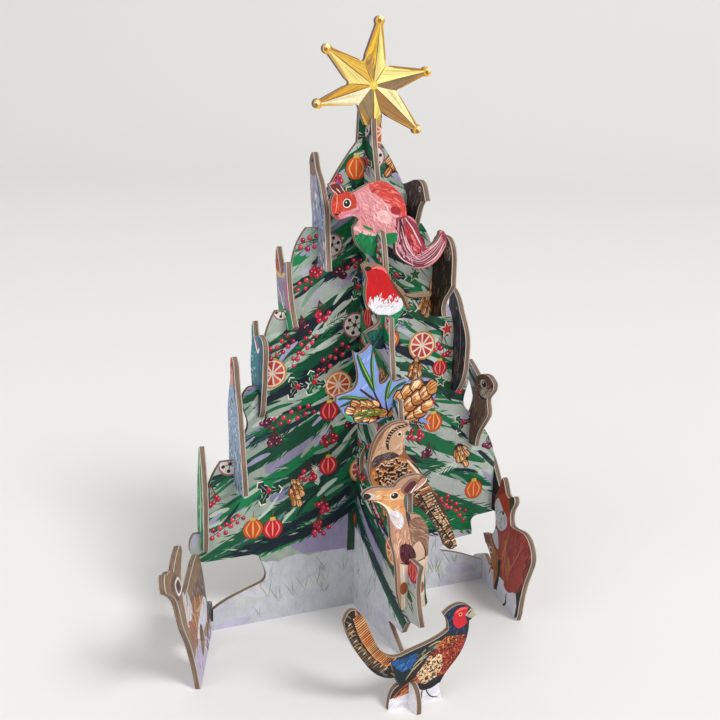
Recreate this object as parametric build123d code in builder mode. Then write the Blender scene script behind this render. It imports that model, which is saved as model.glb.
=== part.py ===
from build123d import *
import math
import os

os.makedirs("parts", exist_ok=True)

# Board and fit: every piece is cut from the same board and pushed into slots.
board = 2.2
clearance = 0.2
slot = board + clearance
seat_depth = 4.0
cut_reach = 30.0

# Heights of the five ledges that carry the cards, and of the tree itself.
ledge_1 = 160.0
ledge_2 = 129.0
ledge_3 = 100.0
ledge_4 = 71.0
ledge_5 = 42.7
ledges = [ledge_1, ledge_2, ledge_3, ledge_4, ledge_5]
neck_top = 203.0
neck_half = 5.5
neck_left = 4.2
lap_height = 101.5
star_seat = neck_top - 4.2
star_offset = 3.4

# Wide panel: distance of each card slot from the middle, and the ledge lip beyond it.
wide_slot_1 = 18.5
wide_slot_2 = 31.0
wide_slot_3 = 42.2
wide_slot_4 = 52.2
wide_slot_5 = 65.5
wide_slots = [wide_slot_1, wide_slot_2, wide_slot_3, wide_slot_4, wide_slot_5]
wide_lips = [5.6, 5.3, 4.4, 6.1, 3.9]
foot_seat = 4.0
foot_lip = 3.6
stag_foot = wide_slot_5 - 2.1
stag_turn = 22.5
stag_lean = 7.0
fox_foot = wide_slot_5 - 2.8
fox_turn = 9.0

# Deep panel: the same, front and back alike.
deep_slot_1 = 13.1
deep_slot_2 = 21.4
deep_slot_3 = 30.8
deep_slot_4 = 40.0
deep_slot_5 = 48.9
deep_slots = [deep_slot_1, deep_slot_2, deep_slot_3, deep_slot_4, deep_slot_5]
deep_lips = [3.3, 4.7, 5.2, 6.0, 9.1]
deep_foot = 47.0

# Bird that stands alone in front, on its own cross foot.
bird_x = -12.4
bird_y = -76.2
bird_foot_half = 7.3
bird_foot_height = 9.5
bird_foot_seat = bird_foot_height / 2

# Branch edges between one ledge and the next slot, as shares of the way out and of the way down.
wide_drops = [
    [(0.62, 0.36), (1.0, 0.65)],
    [(0.56, 0.15), (1.0, 0.42)],
    [(0.83, 0.32), (1.0, 0.62)],
    [(0.64, 0.14), (0.50, 0.32), (0.25, 0.44), (1.0, 0.72)],
    [(0.88, 0.37), (1.0, 0.49)],
]
deep_drops = [
    [(0.14, 0.18), (0.84, 0.54), (1.0, 0.72)],
    [(0.60, 0.22), (1.0, 0.45)],
    [(0.49, 0.41), (1.0, 0.69)],
    [(0.70, 0.35), (1.0, 0.60)],
    [(0.60, 0.35), (1.0, 0.60)],
]


def turned_slot(turn, lean=0.0):
    """Slot width for a board that crosses another away from square, or leans, by the angles."""
    turn = math.radians(turn)
    lean = math.radians(lean)
    return (board + 1.5 * foot_seat * math.sin(lean)) / math.cos(turn) + board * math.tan(turn) + clearance


def trace(*steps):
    """Edges of a closed outline: a point is reached by a straight cut, a list by one smooth curve."""
    ends = [step[-1] if isinstance(step, list) else step for step in steps]
    here = ends[-1]
    with BuildLine() as outline:
        for step, end in zip(steps, ends):
            if isinstance(step, list):
                Spline(here, *step)
            else:
                Line(here, end)
            here = end
    return outline.edges()


def flank(start, offsets, lips, drops):
    """Steps down one side of a panel: a curved branch edge, a card slot and a lip at each ledge."""
    x, z = start
    steps = [start]
    for offset, ledge, lip, drop in zip(offsets, ledges, lips, drops):
        inner = offset - slot / 2
        outer = offset + slot / 2
        steps.append([(x + along * (inner - x), z + down * (ledge - z)) for along, down in drop])
        steps.append((inner, ledge - seat_depth))
        steps.append((outer, ledge - seat_depth))
        steps.append((outer, ledge))
        x, z = offset + lip, ledge
        steps.append((x, z))
    return steps


def mirrored(steps):
    """The same edge on the other side, walked from its far end back to its start."""
    corners = []
    curves = []
    for step in steps:
        run = step if isinstance(step, list) else [step]
        corners += [(-x, z) for x, z in run]
        curves.append(len(run))
    corners.reverse()
    curves.reverse()
    result = [corners[0]]
    place = 0
    for count in curves[:-1]:
        run = corners[place + 1:place + 1 + count]
        result.append(run if count > 1 else run[0])
        place += count
    return result


def across(offset, height):
    """Plane of a card across the deep panel: +x to the right, seen from the front."""
    return Plane(origin=(0, -offset, height), x_dir=(1, 0, 0), z_dir=(0, -1, 0))


def across_back(offset, height):
    """Plane of a card across the deep panel's back wing, seen from behind."""
    return Plane(origin=(0, offset, height), x_dir=(-1, 0, 0), z_dir=(0, 1, 0))


def along(offset, height, turn=0.0, lean=0.0):
    """Plane of a card across the wide panel: +x to the front, turned about its slot, leaning to -X."""
    turn = math.radians(turn)
    lean = math.radians(lean)
    forward = (-math.sin(turn), -math.cos(turn), 0)
    normal = (-math.cos(turn) * math.cos(lean), math.sin(turn) * math.cos(lean), -math.sin(lean))
    lift = board / 2 * math.sin(lean)
    return Plane(origin=(offset, 0, height + lift), x_dir=forward, z_dir=normal)


stag_slot = turned_slot(stag_turn, stag_lean)
stag_shift = 1.7 * foot_seat * math.tan(math.radians(stag_lean)) / math.cos(math.radians(stag_turn))
stag_notch = stag_foot + stag_shift
fox_slot = turned_slot(fox_turn)
neck_shoulder = neck_top - 11.5

wide_right = flank((neck_half, neck_shoulder), wide_slots, wide_lips, wide_drops)
wide_left = mirrored(flank((neck_left, neck_shoulder), wide_slots, wide_lips, wide_drops))
wide_tip = wide_slots[4] + wide_lips[4]

# Wide panel: six cards a side, slotted from the top for the deep panel.
with BuildPart() as tree_panel_wide:
    with BuildSketch(across(0, 0)):
        make_face(trace(
            (neck_half, neck_top),
            *wide_right,
            [(wide_tip + 1.7, ledge_5 - 4.8), (wide_tip + 0.6, ledge_5 - 9.2),
             (wide_tip - 3.6, ledge_5 - 10.7)],
            (56.8, 31.2),
            [(54.4, 29.3), (54.9, 25.3), (54.8, 22.6)],
            [(48.1, 22.1), (41.3, 19.7), (39.5, 17.9), (40.8, 16.8)],
            [(47.6, 14.8), (54.0, 12.3), (fox_foot - fox_slot / 2, 8.9)],
            (fox_foot - fox_slot / 2, foot_seat),
            (fox_foot + fox_slot / 2, foot_seat),
            (fox_foot + fox_slot / 2, 7.4),
            (fox_foot + foot_lip, 6.0),
            (fox_foot + foot_lip, 0),
            (-stag_notch - foot_lip, 0),
            (-stag_notch - foot_lip, 6.0),
            (-stag_notch - stag_slot / 2, 6.6),
            (-stag_notch - stag_slot / 2, foot_seat),
            (-stag_notch + stag_slot / 2, foot_seat),
            (-stag_notch + stag_slot / 2, 9.0),
            [(-56.8, 12.0), (-49.0, 14.9), (-41.4, 17.4)],
            [(-40.1, 19.4), (-40.8, 24.0), (-42.5, 28.6)],
            [(-44.2, 29.9), (-47.1, 30.3)],
            (-wide_tip + 6.0, 30.4),
            [(-wide_tip + 3.0, 30.7), (-wide_tip - 0.6, 33.5), (-wide_tip - 1.7, 37.9), (-wide_tip, ledge_5)],
            *wide_left[1:],
            (-neck_left + 0.4, neck_top),
        ))
        with Locations((0, (neck_top + lap_height) / 2 + 1)):
            Rectangle(slot, neck_top - lap_height + 2, mode=Mode.SUBTRACT)
    extrude(amount=board / 2, both=True)
tree_panel_wide.part.label = "tree_panel_wide"
export_step(tree_panel_wide.part, "parts/tree_panel_wide.step")

deep_lip_top = star_seat + 1.5
deep_front = flank((star_offset + slot / 2 + 1.5, deep_lip_top), deep_slots, deep_lips, deep_drops)
deep_back = mirrored(flank((neck_half, deep_lip_top), deep_slots, deep_lips, deep_drops))
deep_tip = deep_slots[4] + deep_lips[4]
deep_edge = [
    [(deep_tip - 1.6, 36.0), (deep_tip - 1.2, 29.0), (deep_tip + 0.4, 24.4), (deep_tip + 2.6, 19.5)],
    [(54.5, 18.4), (50.0, 16.0), (47.8, 12.6), (46.4, 10.0)],
    (36.0, 9.8),
    (34.5, 9.0),
    (deep_foot, 0),
]
deep_edge_back = mirrored([(deep_tip, ledge_5)] + deep_edge)

# Deep panel: five cards a wing, slotted from below for the wide panel and on top for the star.
with BuildPart() as tree_panel_deep:
    with BuildSketch(along(0, 0)):
        make_face(trace(
            *deep_front,
            *deep_edge,
            (-deep_foot, 0),
            *deep_edge_back[1:],
            *deep_back[1:],
            (-neck_half, star_seat + 5.2),
            [(-2.5, star_seat + 6.9), (star_offset - slot / 2, star_seat + 7.2)],
            (star_offset - slot / 2, star_seat),
            (star_offset + slot / 2, star_seat),
            (star_offset + slot / 2, deep_lip_top),
        ))
        with Locations((0, lap_height / 2 - 1)):
            Rectangle(slot, lap_height + 2, mode=Mode.SUBTRACT)
        make_face(trace([(3.7, 64.0), (5.0, 60.0)], [(9.6, 66.5), (8.2, 72.5)]), mode=Mode.SUBTRACT)
    extrude(amount=board / 2, both=True)
tree_panel_deep.part.label = "tree_panel_deep"
export_step(tree_panel_deep.part, "parts/tree_panel_deep.step")

# Star: ball ends and notches from the seat up, arms with slightly rounded notches between them.
ball = 1.8
arm_half = 0.95
star_middle = (0.1, 13.4)
star_balls = [(18.8, -2.4), (21.9, 18.7), (2.1, 36.2), (-18.4, 25.9), (-21.7, 6.7)]
star_notches = [(3.6, 3.6), (9.7, 11.7), (5.0, 20.7), (-4.2, 22.0), (-9.8, 13.9), (-5.9, 6.2)]

star_arms = [((-2.9, -0.8), (2.9, -1.4))]
for x, z in star_balls:
    reach = math.dist((x, z), star_middle)
    side_x = arm_half * (z - star_middle[1]) / reach
    side_z = arm_half * (x - star_middle[0]) / reach
    star_arms.append(((x + side_x, z - side_z), (x - side_x, z + side_z)))
star_steps = []
for place, notch in enumerate(star_notches):
    leave = star_arms[place][1]
    reach = star_arms[(place + 1) % len(star_arms)][0]
    star_steps.append(leave)
    star_steps.append(tuple(a + (b - a) * 0.84 for a, b in zip(leave, notch)))
    star_steps.append([notch, tuple(a + (b - a) * 0.84 for a, b in zip(reach, notch))])
    star_steps.append(reach)

with BuildPart() as star:
    with BuildSketch(across(star_offset, star_seat)):
        make_face(trace(*star_steps))
        with Locations(*star_balls):
            Circle(ball)
        with Locations((0, -4.0)):
            Rectangle(slot, 8.0, mode=Mode.SUBTRACT)
    extrude(amount=board / 2, both=True)
star.part.label = "star"
export_step(star.part, "parts/star.step")

# Cards on the front wing: outlines from the ledge, +x to the right.
squirrel = [
    [(-20.0, 9.5), (-18.8, 14.1)], (-21.0, 17.4), [(-18.6, 18.3), (-15.5, 16.2), (-11.3, 14.3)],
    [(-5.9, 17.1), (-1.1, 18.4), (4.5, 16.5), (8.6, 12.3), (10.7, 5.4)],
    [(15.8, 0.8), (17.3, -3.5), (20.4, -7.1), (23.4, -5.3), (25.3, -1.5)],
    [(26.6, -1.0), (28.3, -3.9), (27.4, -8.5), (23.3, -13.4), (16.5, -15.0), (10.4, -12.0), (6.8, -9.0)],
    (6.4, -5.0), (0.6, -5.4), (0.0, -9.6), [(-3.4, -9.2), (-6.4, -7.7), (-10.7, 0.3)],
    (-10.9, 1.5), (-8.8, 4.3), [(-11.1, 5.9), (-16.0, 4.9), (-19.2, 6.5)],
]
robin = [
    (-10.7, 19.8),
    [(-8.4, 20.6), (-6.1, 20.3), (-2.4, 19.3), (-0.3, 17.0), (1.5, 13.9), (4.9, 11.0), (7.5, 7.8)],
    (17.4, 8.3), (17.7, 6.7), (8.4, 6.0), (8.6, 1.4), (6.3, 2.4), (4.6, -1.0), (4.4, -6.2), (0.0, -6.6),
    (-0.2, -12.0), [(-3.0, -12.3), (-5.3, -11.5)], (-8.7, -5.8),
    [(-5.6, -4.0), (-2.8, -1.2), (-3.6, 0.8)], [(-5.9, 2.2), (-8.5, 5.8), (-9.0, 10.4), (-8.6, 15.2)],
]
cone_sprig = [
    [(-14.5, 18.4), (-12.6, 19.6), (-10.7, 21.4)], [(-8.6, 14.5), (-7.0, 6.0)],
    [(-4.6, 6.3), (-2.8, 8.7)], [(-1.0, 6.4), (1.4, 6.4), (4.0, 7.2)],
    [(7.0, 5.5), (10.5, 6.3), (14.1, 5.9), (17.2, 4.0), (17.0, 0.5), (16.4, -3.9), (14.1, -6.7), (12.4, -9.4)],
    (15.5, -12.2), (10.7, -10.5), [(4.0, -9.2), (-4.1, -8.4), (-10.5, -8.9), (-16.3, -8.0)],
    [(-19.4, -6.2), (-22.2, -1.9), (-23.9, 0.5)], (-23.9, 2.9),
    [(-20.0, 3.7), (-16.8, 5.2), (-15.5, 8.0), (-16.0, 13.6), (-17.4, 19.4)],
]
partridge = [
    (1.9, 20.5),
    [(-0.3, 22.6), (-3.4, 23.0), (-8.9, 20.7), (-12.2, 16.4), (-13.9, 10.6), (-14.2, 5.0), (-12.4, -1.0),
     (-8.6, -6.6), (-3.6, -9.4), (3.0, -9.8)],
    [(10.0, -15.5), (19.1, -30.4)], [(22.0, -32.2), (24.5, -31.2)],
    [(21.6, -23.0), (15.8, -10.6), (8.4, -0.2), (4.8, 5.3), (1.2, 9.4), (-0.4, 13.4), (0.2, 18.8)],
]
deer = [
    [(-20.6, 28.2), (-18.5, 29.9), (-13.7, 30.2), (-8.0, 29.5)], [(-5.6, 31.8), (-1.8, 32.9)],
    [(2.4, 32.8), (5.2, 31.1)], [(3.2, 28.2), (-0.6, 26.6), (-3.9, 26.2)],
    [(-4.2, 22.4), (-2.0, 18.5), (1.8, 17.2), (5.7, 12.9), (6.9, 6.2), (6.7, -2.0), (7.7, -19.5)],
    (6.5, -21.3), (4.2, -21.3), (3.2, -19.4), (-1.0, -19.4), (-3.2, -20.8),
    [(-4.4, -17.1), (-6.6, 0.1), (-9.0, 10.9), (-9.6, 16.6), (-11.4, 21.9), (-16.4, 25.4), (-19.6, 26.4)],
]

# Cards on the side wings: outlines from the ledge, +x to the front.
left_bird = [
    [(-7.6, 26.0), (-5.6, 27.4), (-4.0, 25.2), (-2.7, 22.0), (0.8, 17.9), (4.5, 11.9), (6.7, 7.4), (7.5, 1.1),
     (8.1, -3.6), (10.0, -15.2)],
    (5.4, -15.0), [(0.0, -13.4), (-3.6, -10.0), (-4.8, -3.0), (-5.4, 5.0), (-6.8, 10.6), (-7.5, 17.0),
     (-8.2, 22.4)],
]
left_small_bird = [
    [(-6.6, 15.4), (-3.6, 11.2)], [(-2.2, 16.6), (-0.6, 18.2), (0.8, 16.2)],
    [(2.4, 7.4), (5.8, -0.6), (8.6, -5.0)], [(5.0, -6.8), (1.0, -7.4), (-4.0, -7.0)],
    [(-7.0, -2.0), (-9.8, 10.7), (-10.9, 16.7), (-9.9, 22.6)],
]
kingfisher = [
    (-5.4, 24.2), (-3.8, 17.8), [(-1.0, 19.6), (2.2, 20.0), (5.4, 18.6), (6.5, 15.5), (6.2, 9.2),
     (5.6, 2.5), (4.2, -6.2)],
    [(3.0, -10.6), (0.6, -12.8), (-2.2, -13.2)], [(-4.6, -6.0), (-6.8, 0.6), (-7.8, 6.0), (-7.6, 10.5),
     (-6.4, 15.2)],
    (-6.6, 22.4),
]
woodpecker = [
    [(-2.2, 38.4), (-1.0, 41.0), (0.8, 39.8), (2.6, 34.9), (3.9, 28.8), (5.9, 22.8), (7.3, 16.6), (9.1, 8.2),
     (11.3, -2.3), (12.6, -10.3)],
    (8.6, -10.6), [(2.4, -9.8), (-3.4, -8.6)],
    [(-4.4, -3.0), (-4.6, 3.0), (-5.0, 11.0), (-5.8, 18.1), (-4.3, 26.2), (-1.9, 33.6)],
]
slim_leaf = [
    [(1.6, 30.4), (3.6, 19.6), (4.4, 8.0), (4.2, -1.0), (3.4, -6.8)], (-3.0, -6.8),
    [(-3.6, 0.0), (-3.4, 12.0), (-2.2, 25.6), (-0.2, 35.4)],
]
right_bird = [
    [(-0.6, 15.6), (3.4, 16.8), (7.4, 17.8), (11.6, 17.4), (14.2, 14.8)], (16.2, 10.7),
    (13.1, 10.3), [(10.6, 7.3), (8.6, 2.3), (6.6, -1.2), (4.6, -7.8)], [(0.6, -8.8), (-4.0, -7.8)],
    [(-7.4, 0.0), (-7.0, 9.0), (-4.6, 15.0)],
]
brown_owl = [
    [(-0.4, 22.4), (2.4, 26.0), (7.6, 27.2), (11.8, 26.8)], [(15.7, 22.8), (16.8, 16.0), (16.9, 8.8)],
    [(13.6, 4.8), (10.4, 0.6), (11.0, -4.8)], [(5.0, -6.0), (-0.6, -6.2), (-4.4, -5.4)],
    [(-5.4, 3.0), (-3.0, 13.0), (-1.0, 20.0)],
]
ruffled_bird = [
    (-3.2, 32.6), [(0.8, 30.2), (5.0, 24.3)], [(8.4, 19.4), (10.9, 14.0), (11.2, 8.6), (10.8, 2.5)],
    [(9.4, -3.0), (4.8, -9.6)], (-0.6, -9.8), [(-3.6, -3.0), (-3.8, 5.0), (-3.4, 14.6), (-4.4, 24.0)],
]
rabbit = [
    (-3.6, 30.0), [(0.0, 28.2), (5.0, 25.0)], [(7.4, 26.4), (12.0, 27.4), (17.8, 25.2)],
    [(16.4, 20.8), (13.6, 17.4), (14.6, 13.4), (13.9, 9.4)], [(9.6, 3.6), (7.0, -1.0), (6.4, -5.4)],
    (-3.4, -6.2), [(-4.6, -1.0), (-2.4, 4.6), (0.2, 9.6), (2.2, 15.6)],
    [(-0.6, 20.4), (-5.0, 24.8)], (-4.2, 26.6),
]
black_bird = [
    [(-7.8, 12.0), (-5.9, 15.2), (-2.6, 14.2), (0.6, 11.0), (3.8, 6.3), (9.6, -0.1)], (10.8, -4.7),
    [(9.0, -7.4), (6.0, -9.2), (1.0, -9.8), (-4.0, -9.0)], [(-8.0, -4.0), (-8.8, 3.0), (-8.6, 8.0)],
]
stag = [
    (-8.0, 0.0), (-8.3, 7.0), [(-6.8, 9.0), (-3.6, 9.6), (-0.6, 11.4), (2.8, 14.4)],
    [(2.4, 22.3), (3.3, 30.5), (5.9, 35.6), (11.8, 37.8), (24.6, 38.2), (36.9, 37.9), (45.2, 38.8)],
    [(47.2, 42.4), (47.0, 46.4), (43.1, 49.9), (37.6, 52.4)], [(38.6, 55.0), (43.5, 56.0), (50.5, 55.6),
     (57.5, 54.2)],
    [(63.6, 57.6), (69.3, 59.0)], [(73.8, 59.4), (74.6, 56.6), (72.4, 54.0)],
    [(64.9, 49.0), (58.9, 42.9), (55.9, 33.6), (48.7, 22.4), (45.8, 15.9), (43.2, 6.0), (42.4, 0.0)],
]
stag_window = [
    [(23.6, 15.6), (27.8, 14.8)], [(29.0, 10.6), (28.1, 3.8)], [(22.0, 4.2), (18.1, 5.6)], (19.4, 11.6),
]
fox_and_cub = [
    (-9.0, 0.0), [(-9.2, 6.4), (-6.3, 8.4), (-2.4, 10.4), (1.2, 12.0)],
    [(5.0, 11.8), (8.6, 10.4), (11.6, 12.6)],
    [(8.0, 16.7), (3.4, 18.6)], (0.5, 21.8), [(4.7, 23.2), (10.4, 25.8), (13.2, 30.1), (11.6, 37.7),
     (13.2, 46.0)],
    (17.3, 54.3), [(20.8, 50.8), (23.2, 48.4), (25.0, 48.2), (27.4, 49.6), (30.4, 50.4)],
    [(31.0, 48.6), (28.7, 44.9), (27.5, 40.6), (28.9, 37.5)],
    [(33.4, 37.9), (39.3, 39.2), (45.0, 38.9), (48.5, 36.5), (50.4, 32.2), (48.9, 27.3), (45.4, 19.8),
     (43.2, 13.4),
     (41.3, 3.5)], (40.0, 0.0),
]

# Cards on the back wing, plain figures seen from behind.
back_leaf = [
    [(4.6, 13.0), (5.0, 9.0)], (9.6, 7.6), [(6.4, 4.6), (6.0, 1.6)], (9.0, -2.6), [(5.0, -3.6), (2.6, -8.0)],
    (-2.6, -8.0), [(-5.0, -3.6), (-9.0, -2.6)], [(-6.0, 1.6), (-6.4, 4.6), (-9.6, 7.6)],
    [(-5.0, 9.0), (-4.6, 13.0), (0.0, 17.0)],
]
back_bird = [
    [(-10.6, 15.0), (-6.0, 15.4), (-1.0, 10.0), (6.0, 6.6), (16.0, 4.0)], (15.4, 1.2),
    [(7.0, -2.0), (4.0, -7.4), (0.0, -8.4), (-4.4, -7.4)], [(-10.0, -1.0), (-11.6, 6.0), (-14.0, 12.0)],
]
back_cone = [
    [(6.0, 14.0), (9.0, 6.0), (7.4, -2.0), (3.4, -9.0)], (-3.4, -9.0),
    [(-7.4, -2.0), (-9.0, 6.0), (-6.0, 14.0), (0.0, 20.0)],
]
back_bauble = [
    (-2.4, 26.0), (2.4, 26.0), (2.4, 22.4),
    [(9.6, 18.0), (13.0, 9.0), (9.4, -1.0), (3.4, -9.0)], (-3.4, -9.0),
    [(-9.4, -1.0), (-13.0, 9.0), (-9.6, 18.0), (-2.4, 22.4)],
]
back_bell = [
    [(0.0, 30.4), (2.6, 27.6)], [(8.6, 24.6), (10.6, 16.0), (12.4, 6.0), (16.4, 1.0)], (16.0, -2.4),
    (4.4, -2.4), [(4.2, -6.6), (3.4, -10.0)], (-3.4, -10.0), [(-4.2, -6.6), (-4.4, -2.4)], (-16.0, -2.4),
    (-16.4, 1.0), [(-12.4, 6.0), (-10.6, 16.0), (-8.6, 24.6), (-2.6, 27.6)],
]

cards = [
    ("squirrel", across(deep_slot_1, ledge_1), squirrel),
    ("robin", across(deep_slot_2, ledge_2), robin),
    ("cone_sprig", across(deep_slot_3, ledge_3), cone_sprig),
    ("partridge", across(deep_slot_4, ledge_4), partridge),
    ("deer", across(deep_slot_5, ledge_5), deer),
    ("left_bird", along(-wide_slot_1, ledge_1), left_bird),
    ("left_small_bird", along(-wide_slot_2, ledge_2), left_small_bird),
    ("kingfisher", along(-wide_slot_3, ledge_3), kingfisher),
    ("woodpecker", along(-wide_slot_4, ledge_4), woodpecker),
    ("slim_leaf", along(-wide_slot_5, ledge_5), slim_leaf),
    ("right_bird", along(wide_slot_1, ledge_1), right_bird),
    ("brown_owl", along(wide_slot_2, ledge_2), brown_owl),
    ("ruffled_bird", along(wide_slot_3, ledge_3), ruffled_bird),
    ("rabbit", along(wide_slot_4, ledge_4), rabbit),
    ("black_bird", along(wide_slot_5, ledge_5), black_bird),
    ("back_leaf", across_back(deep_slot_1, ledge_1), back_leaf),
    ("back_bird", across_back(deep_slot_2, ledge_2), back_bird),
    ("back_cone", across_back(deep_slot_3, ledge_3), back_cone),
    ("back_bauble", across_back(deep_slot_4, ledge_4), back_bauble),
    ("back_bell", across_back(deep_slot_5, ledge_5), back_bell),
]

# Each card is slotted from below and drops onto the bottom of its panel slot.
for name, plane, outline in cards:
    with BuildPart() as card:
        with BuildSketch(plane):
            make_face(trace(*outline))
            with Locations((0, -seat_depth - cut_reach / 2)):
                Rectangle(slot, cut_reach, mode=Mode.SUBTRACT)
        extrude(amount=board / 2, both=True)
    card.part.label = name
    export_step(card.part, f"parts/{name}.step")

# Stag and fox stand on the floor at the ends of the wide panel's foot, turned a little in loose slots.
stag_seat = foot_seat / math.cos(math.radians(stag_lean))
with BuildPart() as stag_card:
    with BuildSketch(along(-stag_foot, 0, stag_turn, stag_lean)):
        make_face(trace(*stag))
        make_face(trace(*stag_window), mode=Mode.SUBTRACT)
        with Locations((0, stag_seat / 2 - 1)):
            Rectangle(stag_slot, stag_seat + 2, mode=Mode.SUBTRACT)
    extrude(amount=board / 2, both=True)
stag_card.part.label = "stag"
export_step(stag_card.part, "parts/stag.step")

with BuildPart() as fox_card:
    with BuildSketch(along(fox_foot, 0, fox_turn)):
        make_face(trace(*fox_and_cub))
        with Locations((0, foot_seat / 2 - 1)):
            Rectangle(fox_slot, foot_seat + 2, mode=Mode.SUBTRACT)
    extrude(amount=board / 2, both=True)
fox_card.part.label = "fox_and_cub"
export_step(fox_card.part, "parts/fox_and_cub.step")

# Pheasant: slotted from below over its foot, which is slotted from above.
with BuildPart() as pheasant:
    with BuildSketch(Plane(origin=(bird_x, bird_y, 0), x_dir=(1, 0, 0), z_dir=(0, -1, 0))):
        make_face(trace(
            (12.6, 0.0), (11.0, 5.2),
            [(14.2, 10.8), (19.1, 16.7), (21.4, 22.0), (22.1, 29.0)], (24.8, 30.8),
            [(22.6, 34.2), (18.6, 36.2), (14.4, 35.4), (11.8, 33.3)], [(13.6, 30.0), (13.9, 26.9)],
            [(8.0, 24.0), (2.3, 22.5), (-4.4, 20.7)],
            [(-8.7, 21.2), (-14.2, 27.0), (-21.0, 40.7)], [(-23.9, 42.2), (-26.8, 38.2)],
            [(-24.5, 31.0), (-19.7, 22.5), (-13.8, 15.4), (-6.7, 12.6)], (-5.0, 9.2),
            [(-7.4, 7.4), (-8.6, 4.0), (-8.9, 0.0)],
        ))
        with Locations((0, bird_foot_seat / 2 - 1)):
            Rectangle(slot, bird_foot_seat + 2, mode=Mode.SUBTRACT)
    extrude(amount=board / 2, both=True)
pheasant.part.label = "pheasant"
export_step(pheasant.part, "parts/pheasant.step")

with BuildPart() as pheasant_foot:
    with BuildSketch(Plane(origin=(bird_x, bird_y, 0), x_dir=(0, -1, 0), z_dir=(-1, 0, 0))):
        make_face(trace(
            (bird_foot_half, 0), (bird_foot_half, bird_foot_height / 4),
            [(bird_foot_half * 0.88, bird_foot_height * 0.66), (bird_foot_half * 0.62, bird_foot_height * 0.92),
             (bird_foot_half * 0.37, bird_foot_height)],
            (-bird_foot_half * 0.37, bird_foot_height),
            [(-bird_foot_half * 0.62, bird_foot_height * 0.92),
             (-bird_foot_half * 0.88, bird_foot_height * 0.66),
             (-bird_foot_half, bird_foot_height / 4)],
            (-bird_foot_half, 0),
        ))
        with Locations((0, (bird_foot_seat + bird_foot_height + 1) / 2)):
            Rectangle(slot, bird_foot_height + 1 - bird_foot_seat, mode=Mode.SUBTRACT)
    extrude(amount=board / 2, both=True)
pheasant_foot.part.label = "pheasant_foot"
export_step(pheasant_foot.part, "parts/pheasant_foot.step")
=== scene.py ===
import math
import random

import bmesh
import bpy
import numpy as np
from mathutils import Matrix, Vector
from mathutils.geometry import delaunay_2d_cdt


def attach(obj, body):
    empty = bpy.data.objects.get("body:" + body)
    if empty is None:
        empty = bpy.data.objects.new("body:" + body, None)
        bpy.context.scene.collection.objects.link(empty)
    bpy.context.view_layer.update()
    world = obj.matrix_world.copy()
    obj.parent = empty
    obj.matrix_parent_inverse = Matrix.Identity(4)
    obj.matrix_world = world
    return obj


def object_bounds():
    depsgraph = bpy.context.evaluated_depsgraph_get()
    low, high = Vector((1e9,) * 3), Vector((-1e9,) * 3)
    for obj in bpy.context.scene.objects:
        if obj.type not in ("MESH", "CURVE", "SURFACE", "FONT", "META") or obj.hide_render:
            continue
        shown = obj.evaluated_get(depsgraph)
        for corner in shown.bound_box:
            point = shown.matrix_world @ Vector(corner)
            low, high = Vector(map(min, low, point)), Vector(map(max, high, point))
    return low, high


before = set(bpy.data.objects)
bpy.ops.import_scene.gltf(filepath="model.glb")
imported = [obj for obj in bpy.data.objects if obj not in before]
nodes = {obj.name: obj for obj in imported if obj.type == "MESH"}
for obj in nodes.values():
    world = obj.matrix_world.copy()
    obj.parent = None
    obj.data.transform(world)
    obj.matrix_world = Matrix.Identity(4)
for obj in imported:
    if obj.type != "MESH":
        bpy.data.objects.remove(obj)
cad_bounds = [list(v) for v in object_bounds()]
scene = bpy.context.scene

MM = 0.001
BOARD = 2.2 * MM  # thickness of every board
PAPER = 0.22 * MM  # white paper line along both faces of a cut edge
PROUD = 0.05 * MM  # how far the print stands off a face
X, Y, Z = Vector((1, 0, 0)), Vector((0, 1, 0)), Vector((0, 0, 1))


def add_object(name, data):
    thing = bpy.data.objects.new(name, data)
    scene.collection.objects.link(thing)
    return thing


# Camera at the photograph's angle
AZIMUTH, ELEVATION, ROLL = math.radians(-24.73), math.radians(15.55), math.radians(1.53)
DISTANCE, TARGET = 0.4317, Vector((-0.00034, 0, 0.10628))
FOCAL_PX, PHOTO_PX, SENSOR = 1087.4, 720, 36
back = Vector((math.sin(AZIMUTH) * math.cos(ELEVATION), -math.cos(AZIMUTH) * math.cos(ELEVATION),
               math.sin(ELEVATION)))
right = Vector((math.cos(AZIMUTH), math.sin(AZIMUTH), 0))
up = back.cross(right)
cam_right = right * math.cos(ROLL) + up * math.sin(ROLL)
cam_up = up * math.cos(ROLL) - right * math.sin(ROLL)
camera_data = bpy.data.cameras.new("camera")
camera_data.sensor_fit = "HORIZONTAL"
camera_data.sensor_width = SENSOR
camera_data.lens = FOCAL_PX / PHOTO_PX * SENSOR
camera_data.clip_start = 0.01
camera = add_object("camera", camera_data)
turn = Matrix((cam_right, cam_up, back)).transposed().to_4x4()
camera.matrix_world = Matrix.Translation(TARGET + back * DISTANCE) @ turn
scene.camera = camera
scene.view_settings.view_transform = "Standard"


# Materials
def linear(hexa):
    """Linear colour of a hex code."""
    rgb = [int(hexa[i:i + 2], 16) / 255 for i in (0, 2, 4)]
    return [c / 12.92 if c <= 0.04045 else ((c + 0.055) / 1.055) ** 2.4 for c in rgb]


def new_material(name):
    material = bpy.data.materials.new(name)
    material.use_nodes = True
    tree = material.node_tree
    tree.nodes.clear()
    output = tree.nodes.new("ShaderNodeOutputMaterial")
    shader = tree.nodes.new("ShaderNodeBsdfPrincipled")
    tree.links.new(shader.outputs["BSDF"], output.inputs["Surface"])
    return material, tree, shader


def noise(tree, scale, detail, rough, vector=None):
    node = tree.nodes.new("ShaderNodeTexNoise")
    node.inputs["Scale"].default_value = scale
    node.inputs["Detail"].default_value = detail
    node.inputs["Roughness"].default_value = rough
    if vector is not None:
        tree.links.new(vector, node.inputs["Vector"])
    return node.outputs["Fac"]


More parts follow.
